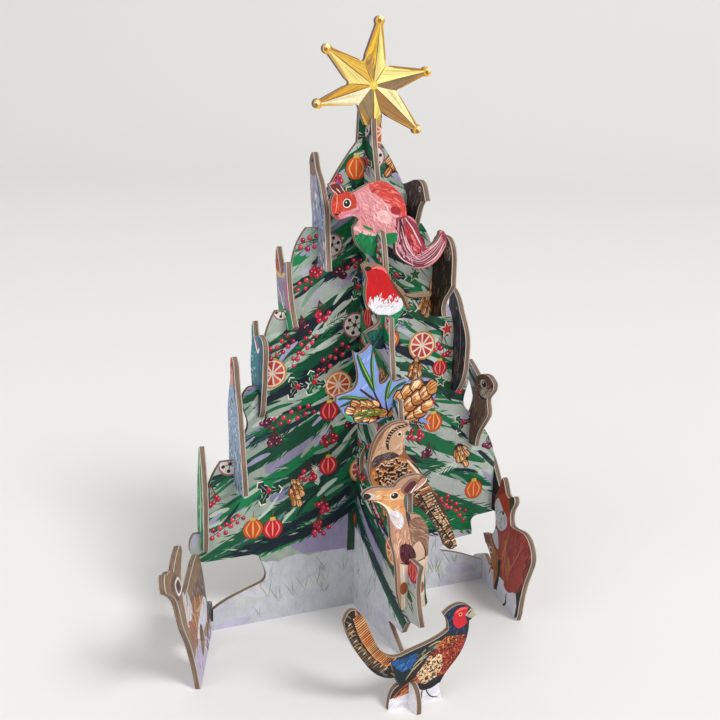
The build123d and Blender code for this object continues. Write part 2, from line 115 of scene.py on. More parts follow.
def ramp(tree, fac, stops):
    node = tree.nodes.new("ShaderNodeValToRGB")
    elements = node.color_ramp.elements
    while len(elements) < len(stops):
        elements.new(0.5)
    for element, (at, colour) in zip(elements, stops):
        element.position = at
        element.color = (*linear(colour), 1)
    tree.links.new(fac, node.inputs["Fac"])
    return node.outputs["Color"]


def maths(tree, op, a, b=None):
    node = tree.nodes.new("ShaderNodeMath")
    node.operation = op
    for socket, value in zip(node.inputs, (a, b)):
        if isinstance(value, (int, float)):
            socket.default_value = value
        elif value is not None:
            tree.links.new(value, socket)
    return node.outputs[0]


def mix(tree, fac, a, b):
    """Blend of two colours; b is a socket or a plain colour."""
    node = tree.nodes.new("ShaderNodeMix")
    node.data_type = "RGBA"
    tree.links.new(fac, node.inputs[0])
    tree.links.new(a, node.inputs[6])
    if isinstance(b, list):
        node.inputs[7].default_value = (*b, 1)
    else:
        tree.links.new(b, node.inputs[7])
    return node.outputs[2]


def dot(tree, vector, direction):
    node = tree.nodes.new("ShaderNodeVectorMath")
    node.operation = "DOT_PRODUCT"
    tree.links.new(vector, node.inputs[0])
    node.inputs[1].default_value = direction
    return node.outputs["Value"]


def set_surface(tree, shader, height, strength, distance, roughness, specular):
    bump = tree.nodes.new("ShaderNodeBump")
    bump.inputs["Strength"].default_value = strength
    bump.inputs["Distance"].default_value = distance
    tree.links.new(height, bump.inputs["Height"])
    tree.links.new(bump.outputs["Normal"], shader.inputs["Normal"])
    shader.inputs["Roughness"].default_value = roughness
    shader.inputs["Specular IOR Level"].default_value = specular


def card_frame(name):
    """Face direction of a flat piece and how far along it the piece's middle lies, from its own mesh."""
    mesh = nodes[name].data
    normal, best = Vector((0, 0, 1)), 0
    for polygon in mesh.polygons:
        if polygon.area > best:
            best, normal = polygon.area, polygon.normal.copy()
    reach = [v.co.dot(normal) for v in mesh.vertices]
    return normal, (max(reach) + min(reach)) / 2


def board_material(name):
    """Grey board with a thin white paper line along both faces, for a piece's cut edges."""
    normal, middle = card_frame(name)
    material, tree, shader = new_material("board_" + name)
    point = tree.nodes.new("ShaderNodeTexCoord").outputs["Object"]
    depth = maths(tree, "ABSOLUTE", maths(tree, "SUBTRACT", dot(tree, point, normal), middle))
    skin = maths(tree, "GREATER_THAN", depth, BOARD / 2 - PAPER)
    layered = tree.nodes.new("ShaderNodeCombineXYZ")
    layers = ((normal, 3200.0), ((0, 0, 1), 90.0), ((1, 1, 0), 90.0))
    for socket, (direction, gain) in zip(layered.inputs, layers):
        tree.links.new(maths(tree, "MULTIPLY", dot(tree, point, direction), gain), socket)
    grain = ramp(tree, noise(tree, 1.0, 3.0, 0.6, layered.outputs["Vector"]),
                 [(0.32, "53443a"), (0.5, "877062"), (0.7, "b09a88")])
    speck = noise(tree, 420.0, 4.0, 0.6, point)
    grey = mix(tree, maths(tree, "MULTIPLY", speck, 0.55), grain, linear("6e594c"))
    tree.links.new(mix(tree, skin, grey, linear("d8d1c6")), shader.inputs["Base Color"])
    set_surface(tree, shader, noise(tree, 1600.0, 3.0, 0.55), 0.35, 0.0002, 0.85, 0.25)
    return material


def ink_material(name, tones):
    """Printed paint: the ground mottles between its tones, and every colour carries fine brush texture."""
    grain = 0.48
    material, tree, shader = new_material(name)
    point = tree.nodes.new("ShaderNodeTexCoord").outputs["Object"]
    ink = tree.nodes.new("ShaderNodeAttribute")
    ink.attribute_name = "ink"
    steps = [(0.30 + 0.40 * k / (len(tones) - 1), tone) for k, tone in enumerate(tones)]
    ground = ramp(tree, noise(tree, 55.0, 3.0, 0.6, point), steps)
    colour = mix(tree, ink.outputs["Alpha"], ground, ink.outputs["Color"])
    streak = tree.nodes.new("ShaderNodeMapping")
    streak.inputs["Rotation"].default_value = (0.4, 0.5, 0.3)
    streak.inputs["Scale"].default_value = (1.0, 1.0, 0.35)
    tree.links.new(point, streak.inputs["Vector"])
    fine = noise(tree, 1100.0, 5.0, 0.75, streak.outputs["Vector"])
    soft = noise(tree, 170.0, 3.0, 0.6, point)
    both = maths(tree, "ADD", maths(tree, "MULTIPLY", fine, grain), maths(tree, "MULTIPLY", soft, grain))
    gain = tree.nodes.new("ShaderNodeVectorMath")
    gain.operation = "SCALE"
    tree.links.new(colour, gain.inputs[0])
    tree.links.new(maths(tree, "ADD", both, 1.0 - grain), gain.inputs["Scale"])
    tree.links.new(gain.outputs["Vector"], shader.inputs["Base Color"])
    set_surface(tree, shader, fine, 0.12, 0.0001, 0.5, 0.35)
    return material


for name, node in nodes.items():
    node.data.materials.clear()
    node.data.materials.append(board_material(name))


# Shapes, in millimetres on a face
def spline(ends, count):
    """Smooth line through all the points but the first and the last, which steer it."""
    line = []
    for a, b, c, d in zip(ends, ends[1:], ends[2:], ends[3:]):
        for k in range(count):
            t = k / count
            line.append(tuple(
                0.5 * (2 * q + (r - p) * t + (2 * p - 5 * q + 4 * r - s) * t * t
                       + (3 * q - p - 3 * r + s) * t ** 3)
                for p, q, r, s in zip(a, b, c, d)))
    return line


def catmull(points, count=6):
    """Smooth line through the points."""
    return spline([points[0], *points, points[-1]], count) + [tuple(points[-1])]


def closed(points):
    """Smooth closed shape through the points."""
    return spline([points[-1], *points, points[0], points[1]], 5)


def ribbon(points, width, start, end):
    """Brush stroke along the points: widest in its middle, thin at its ends."""
    line = catmull(points) if len(points) > 2 else [
        tuple(a + (b - a) * t for a, b in zip(points[0], points[1])) for t in np.linspace(0, 1, 7)]
    left, right = [], []
    last = len(line) - 1
    for i, (x, y) in enumerate(line):
        ax, ay = line[max(i - 1, 0)]
        bx, by = line[min(i + 1, last)]
        length = math.hypot(bx - ax, by - ay) or 1.0
        t = i / last
        low = start + (end - start) * t
        half = width / 2 * (low + (1 - low) * math.sin(math.pi * t) ** 0.7)
        nx, ny = -(by - ay) / length * half, (bx - ax) / length * half
        left.append((x + nx, y + ny))
        right.append((x - nx, y - ny))
    return left + right[::-1]


def oval(x, y, rx, ry=None, angle=0.0, count=14):
    ry = rx if ry is None else ry
    c, s = math.cos(angle), math.sin(angle)
    ring = [(rx * math.cos(t), ry * math.sin(t)) for t in (2 * math.pi * k / count for k in range(count))]
    return [(x + c * a - s * b, y + s * a + c * b) for a, b in ring]


def polar(x, y, r, angle):
    """Point at a distance and direction from another."""
    return x + r * math.cos(angle), y + r * math.sin(angle)


def inside(x, y, shape):
    odd = False
    for (ax, ay), (bx, by) in zip(shape, shape[1:] + shape[:1]):
        if (ay > y) != (by > y) and x < ax + (y - ay) * (bx - ax) / (by - ay):
            odd = not odd
    return odd


def signed_area(ring):
    return sum(a[0] * b[1] - b[0] * a[1] for a, b in zip(ring, ring[1:] + ring[:1])) / 2


class Sheet:
    """Shapes printed over each other on one face. A colour is one hex code, or several to choose from."""

    def __init__(self, seed, paint, *args):
        self.rng = random.Random(seed)
        self.shapes = []
        paint(self, *args)

    def fill(self, points, colour, amount=0.05):
        colour = self.rng.choice(colour.split()) if " " in colour else colour
        gain = 1 + self.rng.uniform(-amount, amount)
        self.shapes.append((points, tuple(min(1.0, c * gain) for c in linear(colour))))

    def dot(self, x, y, r, colour, ry=None, angle=0.0, amount=0.08):
        self.fill(oval(x, y, r, ry, angle, 8 if r < 0.5 else 14), colour, amount)

    def stroke(self, points, width, colour, start=0.15, end=0.1, amount=0.15):
        self.fill(ribbon(points, width, start, end), colour, amount)

    def strokes(self, lines, *look):
        for points in lines:
            self.stroke(points, *look)

    def needle(self, x, y, angle, length, width, colour, amount=0.15):
        dx, dy = math.cos(angle) * length, math.sin(angle) * length
        nx, ny = -math.sin(angle) * width / 2, math.cos(angle) * width / 2
        self.fill([(x, y), (x + dx * 0.4 - nx, y + dy * 0.4 - ny), (x + dx, y + dy),
                   (x + dx * 0.4 + nx, y + dy * 0.4 + ny)], colour, amount)

    def hairs(self, shape, angle, length, width, colour, count, spread=0.35, amount=0.2):
        """Short brush strokes scattered inside a shape; angle is a number or a function of the place."""
        xs, ys = [p[0] for p in shape], [p[1] for p in shape]
        done = 0
        for _ in range(count * 12):
            x, y = self.rng.uniform(min(xs), max(xs)), self.rng.uniform(min(ys), max(ys))
            if not inside(x, y, shape):
                continue
            a = (angle(x, y) if callable(angle) else angle) + self.rng.uniform(-spread, spread)
            n = length * self.rng.uniform(0.6, 1.2) / 2
            dx, dy = math.cos(a) * n, math.sin(a) * n
            bend = self.rng.uniform(-0.15, 0.15) * n
            self.stroke([(x - dx, y - dy), (x - dy * bend / n, y + dx * bend / n), (x + dx, y + dy)],
                        width * self.rng.uniform(0.7, 1.3), colour, 0.3, 0.1, amount)
            done += 1
            if done >= count:
                return

    def blob(self, points, colour):
        """A filled smooth shape through the points."""
        self.fill(closed(points), colour)

    def coat(self, shape, colour, *look, smooth=False, **more):
        """A filled shape with hairs over it."""
        (self.blob if smooth else self.fill)(shape, colour)
        self.hairs(shape, *look, **more)


# Printed faces
def face_loops(node, normal, origin, u, v):
    """Closed outlines of a flat piece's face, outer one first, in millimetres on the face."""
    mesh = nodes[node].data
    edges = {}
    for polygon in mesh.polygons:
        if polygon.normal.dot(normal) > 0.999:
            # Corners are compared to a micron, since the faces of a triangle mesh needn't share vertices.
            ring = [tuple(round(c * 1e6) for c in mesh.vertices[i].co) for i in polygon.vertices]
            for edge in zip(ring, ring[1:] + ring[:1]):
                edges[edge] = True
    follow = {a: b for a, b in edges if (b, a) not in edges}
    loops = []
    while follow:
        a = next(iter(follow))
        ring = []
        while a in follow:
            ring.append(a)
            a = follow.pop(a)
        points = [Vector(p) * 1e-6 - origin for p in ring]
        loops.append([(p.dot(u) / MM, p.dot(v) / MM) for p in points])
    loops = [r if signed_area(r) > 0 else r[::-1] for r in loops if abs(signed_area(r)) > 0.05]
    return sorted(loops, key=signed_area, reverse=True)


def print_faces(node, origin, u, v, normal, sheets, tones):
    """Prints the sheets of a piece as one thin mesh on its faces. Each of sheets is (sides, sheet).

    A triangulation over the face's outlines and all shapes gives each triangle the ink of its topmost
    shape, or ink 0, the bare ground. Neighbours of one ink are then joined.
    """
    vertices, faces, inks, palette = [], [], [], [(0, 0, 0, 0)]
    loops = face_loops(node, normal, origin, u, v)
    for sides, sheet in sheets:
        rings = loops + [s if signed_area(s) > 0 else s[::-1] for s, _ in sheet.shapes]
        flat, index = [], []
        for ring in rings:
            index.append(list(range(len(flat), len(flat) + len(ring))))
            flat += [Vector(p) for p in ring]
        points, _, triangles, _, _, source = delaunay_2d_cdt(flat, [], index, 1, 1e-5, True)
        first = len(palette) - len(loops)
        palette += [(*colour, 1) for _, colour in sheet.shapes]
        for side in sides:
            used = {}
            shift = normal * side * (BOARD / 2 + PROUD)
            turned = (u.cross(v).dot(normal) > 0) == (side > 0)
            for triangle, ids in zip(triangles, source):
                if 0 not in ids or any(0 < k < len(loops) for k in ids):
                    continue
                top = max(ids)
                for k in triangle:
                    if k not in used:
                        used[k] = len(vertices)
                        spot = origin + u * (points[k].x * MM) + v * (points[k].y * MM) + shift
                        vertices.append([min(max(c, low), high) for c, low, high in zip(spot, *cad_bounds)])
                ring = [used[k] for k in triangle]
                faces.append(ring if turned else ring[::-1])
                inks.append(first + top if top else 0)
    mesh = bpy.data.meshes.new("print_" + node)
    mesh.from_pydata(vertices, [], faces)
    mesh.polygons.foreach_set("material_index", inks)
    joined = bmesh.new()
    joined.from_mesh(mesh)
    bmesh.ops.dissolve_limit(joined, angle_limit=0.01, use_dissolve_boundaries=False, verts=joined.verts,
                             edges=joined.edges, delimit={"MATERIAL"})
    joined.to_mesh(mesh)
    joined.free()
    inks, corners = np.zeros(len(mesh.polygons), np.int32), np.zeros(len(mesh.polygons), np.int32)
    mesh.polygons.foreach_get("material_index", inks)
    mesh.polygons.foreach_get("loop_total", corners)
    layer = mesh.color_attributes.new("ink", "FLOAT_COLOR", "CORNER")
    layer.data.foreach_set("color", np.repeat(np.array(palette, np.float32)[inks], corners, axis=0).ravel())
    mesh.polygons.foreach_set("material_index", np.zeros(len(inks), np.int32))
    mesh.materials.append(ink_material("ink_" + node, tones))
    piece = add_object("print_" + node, mesh)
    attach(piece, "root")


# Cards
# Each card is drawn in millimetres from the point where it crosses its panel at the height of the
# ledge, or from its foot where it stands on the table. x runs to the right or to the front.
def star_print(s):
    s.fill(oval(0, 14, 40), "d9a62c")
    tips = [(2.1, 36.2), (-18.4, 25.9), (-21.8, 6.7), (21.9, 18.7), (18.8, -2.4), (0.6, -1.7)]
    notches = [(-4.2, 22.2), (-10, 13.9), (-6, 5.9), (3.6, 3), (10, 11.6), (5.1, 20.8)]
    order = [(0, 5, 0, "f0dc84", "e0b236"), (1, 0, 1, "dcae46", "f2da84"), (2, 1, 2, "d39f34", "f4e4b8"),
             (5, 2, 3, "8d7654", "f2df76"), (4, 3, 4, "9c7040", "f5e6a6"), (3, 4, 5, "8f7450", "f4e08a")]
    mx, my = 0.1, 13.4
    for tip, right_notch, left_notch, right_tone, left_tone in order:
        tx, ty = tips[tip]
        for notch, tone in ((notches[left_notch], left_tone), (notches[right_notch], right_tone)):
            nx, ny = notch
            s.fill([(mx, my), notch, (tx + (nx - mx) * 0.16, ty + (ny - my) * 0.16), (tx, ty)], tone, 0.02)
            s.stroke([(nx, ny), ((nx + tx) / 2, (ny + ty) / 2), (tx + (nx - mx) * 0.1, ty + (ny - my) * 0.1)],
                     1.3, "c08a2c b07a28 caa04a", 0.5, 0.4)
            for k in range(16):
                t, far = s.rng.uniform(0.08, 0.9), s.rng.uniform(0.45, 0.92)
                ax, ay = mx + (nx - mx) * t, my + (ny - my) * t
                s.stroke([(ax, ay), (ax + (tx - ax) * far, ay + (ty - ay) * far)], s.rng.uniform(0.25, 0.6),
                         tone, 0.2, 0.1, 0.28)
            s.stroke([(mx, my), (mx + (nx - mx) * 0.95, my + (ny - my) * 0.95)], 0.35, "8a6a3c")
        s.stroke([(mx, my), (tx, ty)], 0.4, "7a5a30")
        cx, cy = mx + (tx - mx) * 1.02, my + (ty - my) * 1.02
        s.dot(cx, cy, 1.75, "d9a136")
        s.dot(cx + 0.35, cy + 0.55, 0.95, "f8e6b4")
        s.dot(cx - 0.35, cy - 0.45, 0.75, "8f6426")
    s.blob([(-3.4, 21.4), (-1.2, 24.6), (0.4, 20), (0, 15.6)], "b58a44")
    s.hairs([(-3.4, 21.4), (-1, 25.4), (0.4, 20), (0, 15.6)], 1.4, 3, 0.4, "a67a3a d0a452 94703c", 14)
    s.dot(mx, my, 1.6, "e9c33e")
    s.dot(mx + 0.3, my + 0.4, 0.7, "f7e48c")


def squirrel_print(s):
    s.fill(oval(4, 0, 40), "d8848b")
    s.fill([(-15, -1), (5.5, -1.6), (5.5, -16), (-15, -16)], "0e6c3e")
    s.hairs([(-13, -1.5), (5, -1.8), (4, -12), (-10, -12)], 1.2, 3, 0.5, "0a5834 1f8a55 127644", 40)
    body = [(-9.9, 13.9), (-4.9, 16.7), (-1, 18.1), (3.6, 16.5), (7.7, 12.6), (10.2, 7.5), (10.3, 4.5),
            (6.9, -0.8), (0.3, -1.1), (-5, 0.9), (-8.7, 5.1), (-9.8, 9.6)]
    s.coat(body, "dd8f94", -0.8, 2.4, 0.32, "e6a9aa cc757a ecb8b6 c4646a d98d90", 230, 0.5, 0.12)
    s.dot(1.5, 5, 3.4, "ecb4b4", 2.2, -0.6)
    s.hairs(oval(1.5, 5, 4.5, 3), -0.8, 2.2, 0.3, "f3cfcd dd9496 e8aeb0", 40, 0.5, 0.1)
    back = [(-4.6, 18.8), (-0.6, 19.8), (4.4, 18), (8.8, 14.2), (11.6, 9.6), (11.6, 5.4), (7.6, 5.5),
            (5.2, 8.2), (1.8, 10.7), (-2.2, 13.7), (-4.8, 15.2)]
    s.coat(back, "cf433b", lambda x, y: math.atan2(y - 4, x) - 1.5, 3, 0.5, "b93030 d8554c cc433c e27a70",
           110, smooth=True)
    s.hairs([(-5.4, 15.4), (-2.2, 13.2), (1.8, 10.2), (5.2, 7.7), (7, 5.4), (4.6, 5.4), (-1, 10),
             (-5.4, 13.6)], -0.7, 2.4, 0.4, "dd8f94 d8706c e8a8a8", 50)
    s.dot(6.1, 7.3, 2.3, "a5262c", 1.5, -0.3)
    s.stroke([(-0.5, 11.6), (1.9, 9.8), (2.9, 7.1), (1.3, 6)], 0.35, "f3d3d0")
    s.stroke([(-1.9, 4.9), (1.3, 6), (5, 4.6)], 0.35, "f3d3d0")
    head = [(-21, 13.6), (-18.4, 14.6), (-15.3, 14.8), (-12, 14.4), (-10.4, 12.5), (-10, 9.9), (-10.4, 8.1),
            (-12.9, 6.4), (-16.1, 4.6), (-19.6, 4.6), (-21.4, 7.4)]
    s.coat(head, "c23a2c", 1.9, 2, 0.4, "a82c24 d2583e c9442f b83228", 60, smooth=True)
    s.blob([(-16.4, 7.2), (-13, 8), (-9.8, 8.8), (-8.2, 6.6), (-11, 4.2), (-16.2, 4)], "cf7c86")
    s.hairs([(-16.4, 7.2), (-9.8, 8.8), (-8.2, 6.6), (-11, 4.2), (-16.2, 4)], 0.3, 2.2, 0.35,
            "e2a2a8 b8626c c98a94", 34)
    s.fill([(-20.7, 17.4), (-16.4, 18.4), (-12.8, 15.4), (-15.3, 14.4), (-17.5, 13.8), (-19.1, 14.7)],
           "6e2426")
    s.strokes(([(-20.4, 16.2), (-17.5, 13.8)], [(-18.2, 16.2), (-16.3, 14.4)], [(-16.7, 17.3), (-14.7, 14.6)],
               [(-15.4, 17.8), (-10.6, 14.2)]), 0.35, "efd2c4")
    s.stroke([(-17.8, 14.1), (-17.8, 10.4), (-18.3, 7.2)], 0.4, "e8956a")
    ex, ey = -13.8, 10.6
    s.dot(ex, ey, 1.62, "efe4da", 1.7)
    s.dot(ex - 0.05, ey, 1.28, "120d0c", 1.35)
    s.dot(ex - 0.25, ey + 0.35, 0.32, "dfe3ea")
    s.dot(-17.8, 6.6, 0.8, "4a1614", 0.45)
    s.stroke([(-17.7, 7.8), (-16.4, 7.1), (-16.1, 6)], 0.3, "8c2a26")
    tail = [(6.3, 4.6), (10.6, 5.3), (15.2, 1.9), (17.8, -3.4), (19.7, -7.5), (22.1, -7), (24.6, -2.8),
            (26.6, -1.2), (28.8, -3.9), (27.3, -7.5), (23.7, -11.4), (18.7, -14.7), (14.9, -14.6),
            (10, -12.8), (5.9, -9.2), (5.3, -7.4), (6.6, -1.4)]
    s.fill(tail, "8c3447")
    # Places along the tail with its half width there: by the body, and towards the tip.
    near = [(8.9, 4.2, 1.6), (9.8, -1.5, 3), (12.4, -7.3, 3.8), (16.8, -11.4, 2.4)]
    far = [(12.3, -10.6, 2.4), (17.4, -12.2, 2.2), (22.8, -9.2, 2), (26.9, -4.4, 1)]
    for k in range(64):
        off = s.rng.uniform(-1, 1)
        hair = ([(x + off * w, y + off * w * 0.4) for x, y, w in near] if k < 35
                else [(x - off * w * 0.6, y + off * w) for x, y, w in far])
        s.stroke(hair, 0.38, "5e1c2c c98490 7c2c3e dba6ae 4e1624 a84a5c")
    s.stroke([(10.7, 3.2), (12.6, -1.7), (14.8, -6), (17.4, -9.2)], 2.9, "a82430", 0.3, 0.3)
    s.hairs([(10.4, 4), (13.4, 0.8), (16.4, -5), (18.6, -9.8), (15.4, -9.8), (12, -4.6), (9.6, 1)], -1.05,
            3.4, 0.42, "c23a3e 7c2232 d8808a 93202c b42c34", 60)
    s.hairs([(6.4, 1), (9.4, 0), (12, -8), (16, -12.6), (11.6, -13), (6.4, -8.6)], -1.1, 3.2, 0.4,
            "e3b4ba 6a2234 c08290 4c1826", 46)
    s.stroke([(8, 4.2), (9.2, -0.3), (10.4, -4.6)], 1.7, "4a1626")
    s.strokes(([(10, 4.5), (13.2, 0.7), (15.8, -3.6), (17.6, -6.7)],
               [(6.9, -0.2), (6.4, -6.2), (9.3, -10.9), (14.9, -14)],
               [(20.4, -8.1), (23.8, -6.1), (26.3, -2.2)], [(19, -13.9), (24.3, -10.8), (27.8, -4.7)],
               [(8.8, 1.5), (10.7, -4.6), (14, -9.6), (17.5, -12)]), 0.5, "ecc2c6")
    s.stroke([(-11.2, 1.4), (-8.9, 1), (-6.6, -0.3), (-1.7, -1.7)], 1.7, "eec0bd", 0.6, 0.4)
    s.stroke([(-8.7, 4.5), (-8.3, 2.2), (-6.9, -0.6)], 1.3, "e3a09e", 0.6, 0.5)
    s.blob([(-8.6, -0.5), (-4.3, -1.9), (-1.7, -2), (-1.5, -5.9), (-3.1, -9.1), (-5.7, -8.4), (-7.8, -3.8)],
           "0f7a46")
    s.hairs([(-7.9, -0.8), (-1.7, -2), (-2.2, -6.4), (-4.7, -8.7), (-7.1, -4.4)], 1.2, 2.4, 0.5,
            "0a5c36 2a9a60 148a50", 18)
    s.blob([(1.6, -1.8), (6.9, -1.1), (6.7, -4.4), (5.1, -7.4), (2.8, -6.1)], "118048")
    s.blob([(-7, 2.4), (-3.1, 0.8), (-3.7, 0.2), (-6.3, 1.2)], "118048")


def robin_print(s):
    s.fill(oval(0, 4, 40), "8f765a")
    s.hairs(oval(2, 4, 18, 16), 0.2, 4, 0.6, "7a614a a98f70 6e5844", 60)
    leaf = [(0, 0.3), (4.7, 1.7), (7.5, 4), (9.5, 0.9), (8.2, -1.2), (6.4, -3.7), (2.1, -4.9), (-0.8, -4.7)]
    s.coat(leaf, "0f8050", 0.9, 3, 0.5, "0a5e3a 3aa878 19945e", 26)
    s.stroke([(8.1, 1.9), (6.7, 0), (5.3, -2.3), (3.5, -3.9)], 0.4, "e4efe6")
    s.blob([(-8.7, 6), (-5.7, 7.3), (-2.2, 7.5), (1.2, 6.4), (5.2, 6.8), (6.4, 4), (4.9, 1.9), (1.9, 0.6),
            (-1.9, 0.5), (-4.6, 1.6), (-7, 3.7)], "e9e6ec")
    s.hairs(oval(-1.1, 3.5, 6, 3.2), 0.5, 2.2, 0.3, "ffffff cfcbd6 b9b4c2", 26)
    breast = [(-9.3, 17.6), (-7.5, 18.6), (-5.6, 19.2), (-2.6, 18.6), (-0.9, 16.9), (0.9, 14), (3.1, 11.9),
              (4, 9.2), (5.2, 6.9), (3.1, 6.6), (-0.2, 6.1), (-2.4, 7.3), (-4.7, 8.4), (-5.7, 7.2),
              (-7.3, 6.3), (-8.6, 6.6), (-9.2, 10.1), (-8.6, 14.8)]
    s.coat(breast, "c8050e", 1.4, 1.8, 0.6, "bb040c d00c14 c80810", 30, amount=0.05)
    s.hairs([(-8.6, 5.6), (4.6, 5.8), (4.8, 7.4), (-2.4, 8.2), (-8.8, 7.2)], 1.5, 2, 0.42,
            "f1eef3 d8090f e9e6ec c8050e", 64, 0.4, 0.04)
    s.stroke([(-7, 18.6), (-4.9, 18.8), (-2.3, 18.2), (-0.6, 16.3)], 1, "ea6a68")
    s.stroke([(0.9, 14), (3.4, 10.2), (6.2, 6.5), (8.8, 1.2)], 1.2, "5a3324", 0.3, 0.2)
    s.dot(-8.5, 18.6, 1.4, "131312", 0.9)
    s.dot(-5.2, 18.1, 0.45, "3a1512")
    s.stroke([(-9.8, 18.8), (-8.7, 18.5)], 0.8, "1b1712", 0.2, 0.8)
    s.stroke([(6.9, 7.8), (10.3, 6.5), (17.4, 6.3)], 0.5, "2b211c")
    s.fill([(-4.6, 1.2), (0.4, 0.6), (0.4, -4.6), (-3.6, -4.6)], "0c6642")
    s.fill([(-10, -5), (-1, -4.4), (-1, -16), (-10, -16)], "0c2a34")
    s.blob([(-8.3, -6.1), (-5.3, -4.8), (-0.8, -4.7), (-1.7, -7.5), (-5.2, -8.6), (-7.6, -7.7)], "0e5f50")
    s.hairs([(-8, -5.4), (-1, -4.8), (-1.2, -12), (-6, -12)], 1.3, 3, 0.5, "114a48 0a2430 1a7a64", 22)
    s.stroke([(-5.5, 0.9), (-3.8, -1.4), (-2, -4.4)], 0.6, "b3243a")


def cone(s, outline, axis, rows, across=1.6):
    """Pine cone: broad orange scales that overlap towards its tip, with dark gaps and pale ridges."""
    s.blob(outline, "2a1512")
    (ax, ay), (bx, by) = axis
    length = math.hypot(bx - ax, by - ay)
    dx, dy = (bx - ax) / length, (by - ay) / length
    wide = max(abs((x - ax) * -dy + (y - ay) * dx) for x, y in outline)
    step = length / rows
    blade = [(-0.95, -0.3), (-0.7, 0.7), (0.2, 1), (0.75, 0.7), (1.05, -0.05), (0.7, -0.85), (-0.1, -0.95),
             (-0.7, -0.75)]
    for k in range(rows + 1):
        for j in (-3, 3, -2, 2, -1, 1, 0):
            along = k * step + (0.5 * step if j % 2 else 0) + s.rng.uniform(-0.08, 0.08) * step
            off = (j + s.rng.uniform(-0.1, 0.1)) * wide / across
            x, y = ax + dx * along - dy * off, ay + dy * along + dx * off
            if not inside(x, y, outline):
                continue
            r, w, turn = step * 0.8, wide / across * 0.68, j * 0.24 + s.rng.uniform(-0.16, 0.16)
            c, d = dx * math.cos(turn) - dy * math.sin(turn), dy * math.cos(turn) + dx * math.sin(turn)
            place = lambda m, n: (x + c * m * r - d * n * w, y + d * m * r + c * n * w)
            s.fill([place(m * 1.12 + 0.02, n * 1.14) for m, n in blade], "2a1512")
            s.fill([place(m * 0.95, n * 0.93) for m, n in blade], "c27a3a b0662e d08a48 a5552c", 0.1)
            s.fill([place(0.25 + m * 0.52, 0.18 + n * 0.55) for m, n in blade], "efc58c e9b06c f3d3a0 dda05c",
                   0.08)
            for q in (-0.6, -0.25, 0.15, 0.5):
                s.stroke([place(-0.7, q * 0.7), place(0.1, q + 0.05), place(0.85, q * 0.8)], r * 0.15,
                         "8f4a24 f8e2ba 6e3418 dd9650", 0.3, 0.2)


def cone_sprig_print(s):
    s.fill(oval(0, 4, 40), "7f99d8")
    s.hairs(oval(-4, 4, 24, 18), 0.8, 4, 0.9, "8ba4e0 748fd0 9ab0e4", 60, amount=0.05)
    for line, w in (([(-16.2, 18.2), (-13.7, 12.4), (-11.2, 7.7), (-9.3, 3.8)], 2.2),
                    ([(-10, 20.1), (-10.3, 14.9), (-9.8, 9.2), (-8.9, 3.5)], 1.4),
                    ([(-2.2, 7.3), (-3.3, 4.3), (-4.2, -0.7)], 1.9), ([(4.4, 6), (0, 4), (-3.2, 0)], 1.5),
                    ([(-23.4, 1.9), (-20.2, 2.3), (-14.9, 1.2), (-10.7, 0.9)], 1.7),
                    ([(-22.7, -1.1), (-18.4, 0.3), (-14.3, 1.2)], 1.3)):
        s.stroke(line, w, "1d5c2c", 0.3, 0.25)
        s.stroke([(x + 0.3, y + 0.15) for x, y in line], w * 0.26, "7ea03a")
        s.stroke([(x - 0.25, y - 0.1) for x, y in line], w * 0.3, "0e3f24")
    for line, w in (([(-14.7, 4.9), (-12, 2.7), (-8.3, -0.3), (-4.5, -5), (-0.8, -7.7)], 1),
                    ([(-9.3, 3.8), (-7.7, 0.5), (-5.8, -2.5)], 0.8),
                    ([(-4.1, -0.7), (-3.3, -4.2), (-1.1, -7.4)], 0.7)):
        s.stroke(line, w, "3a1518", 0.7, 0.5)
    cone(s, [(-1.1, -5.9), (-0.7, -2.2), (1.6, 1.2), (4.3, 3.8), (7, 5), (11.6, 5.4), (16.3, 4.9), (16.8, 2),
             (15.7, -0.8), (14.9, -4.2), (13.2, -7.3), (10.7, -9), (6.7, -10), (2.1, -9.2), (-0.1, -7.8)],
         [(-0.2, -7.2), (15.5, 2.7)], 5)
    cone(s, [(-18.9, -2.8), (-16.9, -0.7), (-14, 0.4), (-10.1, -0.4), (-7, -1.5), (-4.4, -4.4), (-5.6, -7.1),
             (-9.8, -8.5), (-14.6, -8), (-17.6, -5.8)], [(-5.1, -5.2), (-18.3, -3.1)], 5)
    s.strokes(([(-18.2, -5.7), (-14.1, -4.5), (-10, -3.9), (-5.1, -4.6)],
               [(-16.1, -7.4), (-12.3, -5.8), (-8.7, -5.4), (-4.5, -5.6)]), 0.8, "3f8a2c", 0.3, 0.2)
    s.strokes(([(-1.1, -7.7), (-4.4, -8.4), (-8.6, -10.3)], [(-1.1, -7.7), (-2.5, -10.1), (-3.7, -12)],
               [(-0.8, -7.7), (3.6, -9.7), (8.3, -10.8)]), 1.8, "14603c", 0.4, 0.2)
    s.dot(17.3, -1.9, 1, "c8203a")
    s.dot(16.5, -3.5, 0.9, "b81a34")
    s.stroke([(6.1, -10.5), (11.5, -11.5), (16, -12.7)], 0.7, "5c1c22")
    s.stroke([(-20.6, -3.7), (-19.4, -5.6), (-16.7, -7.6)], 1.4, "2a9a68")


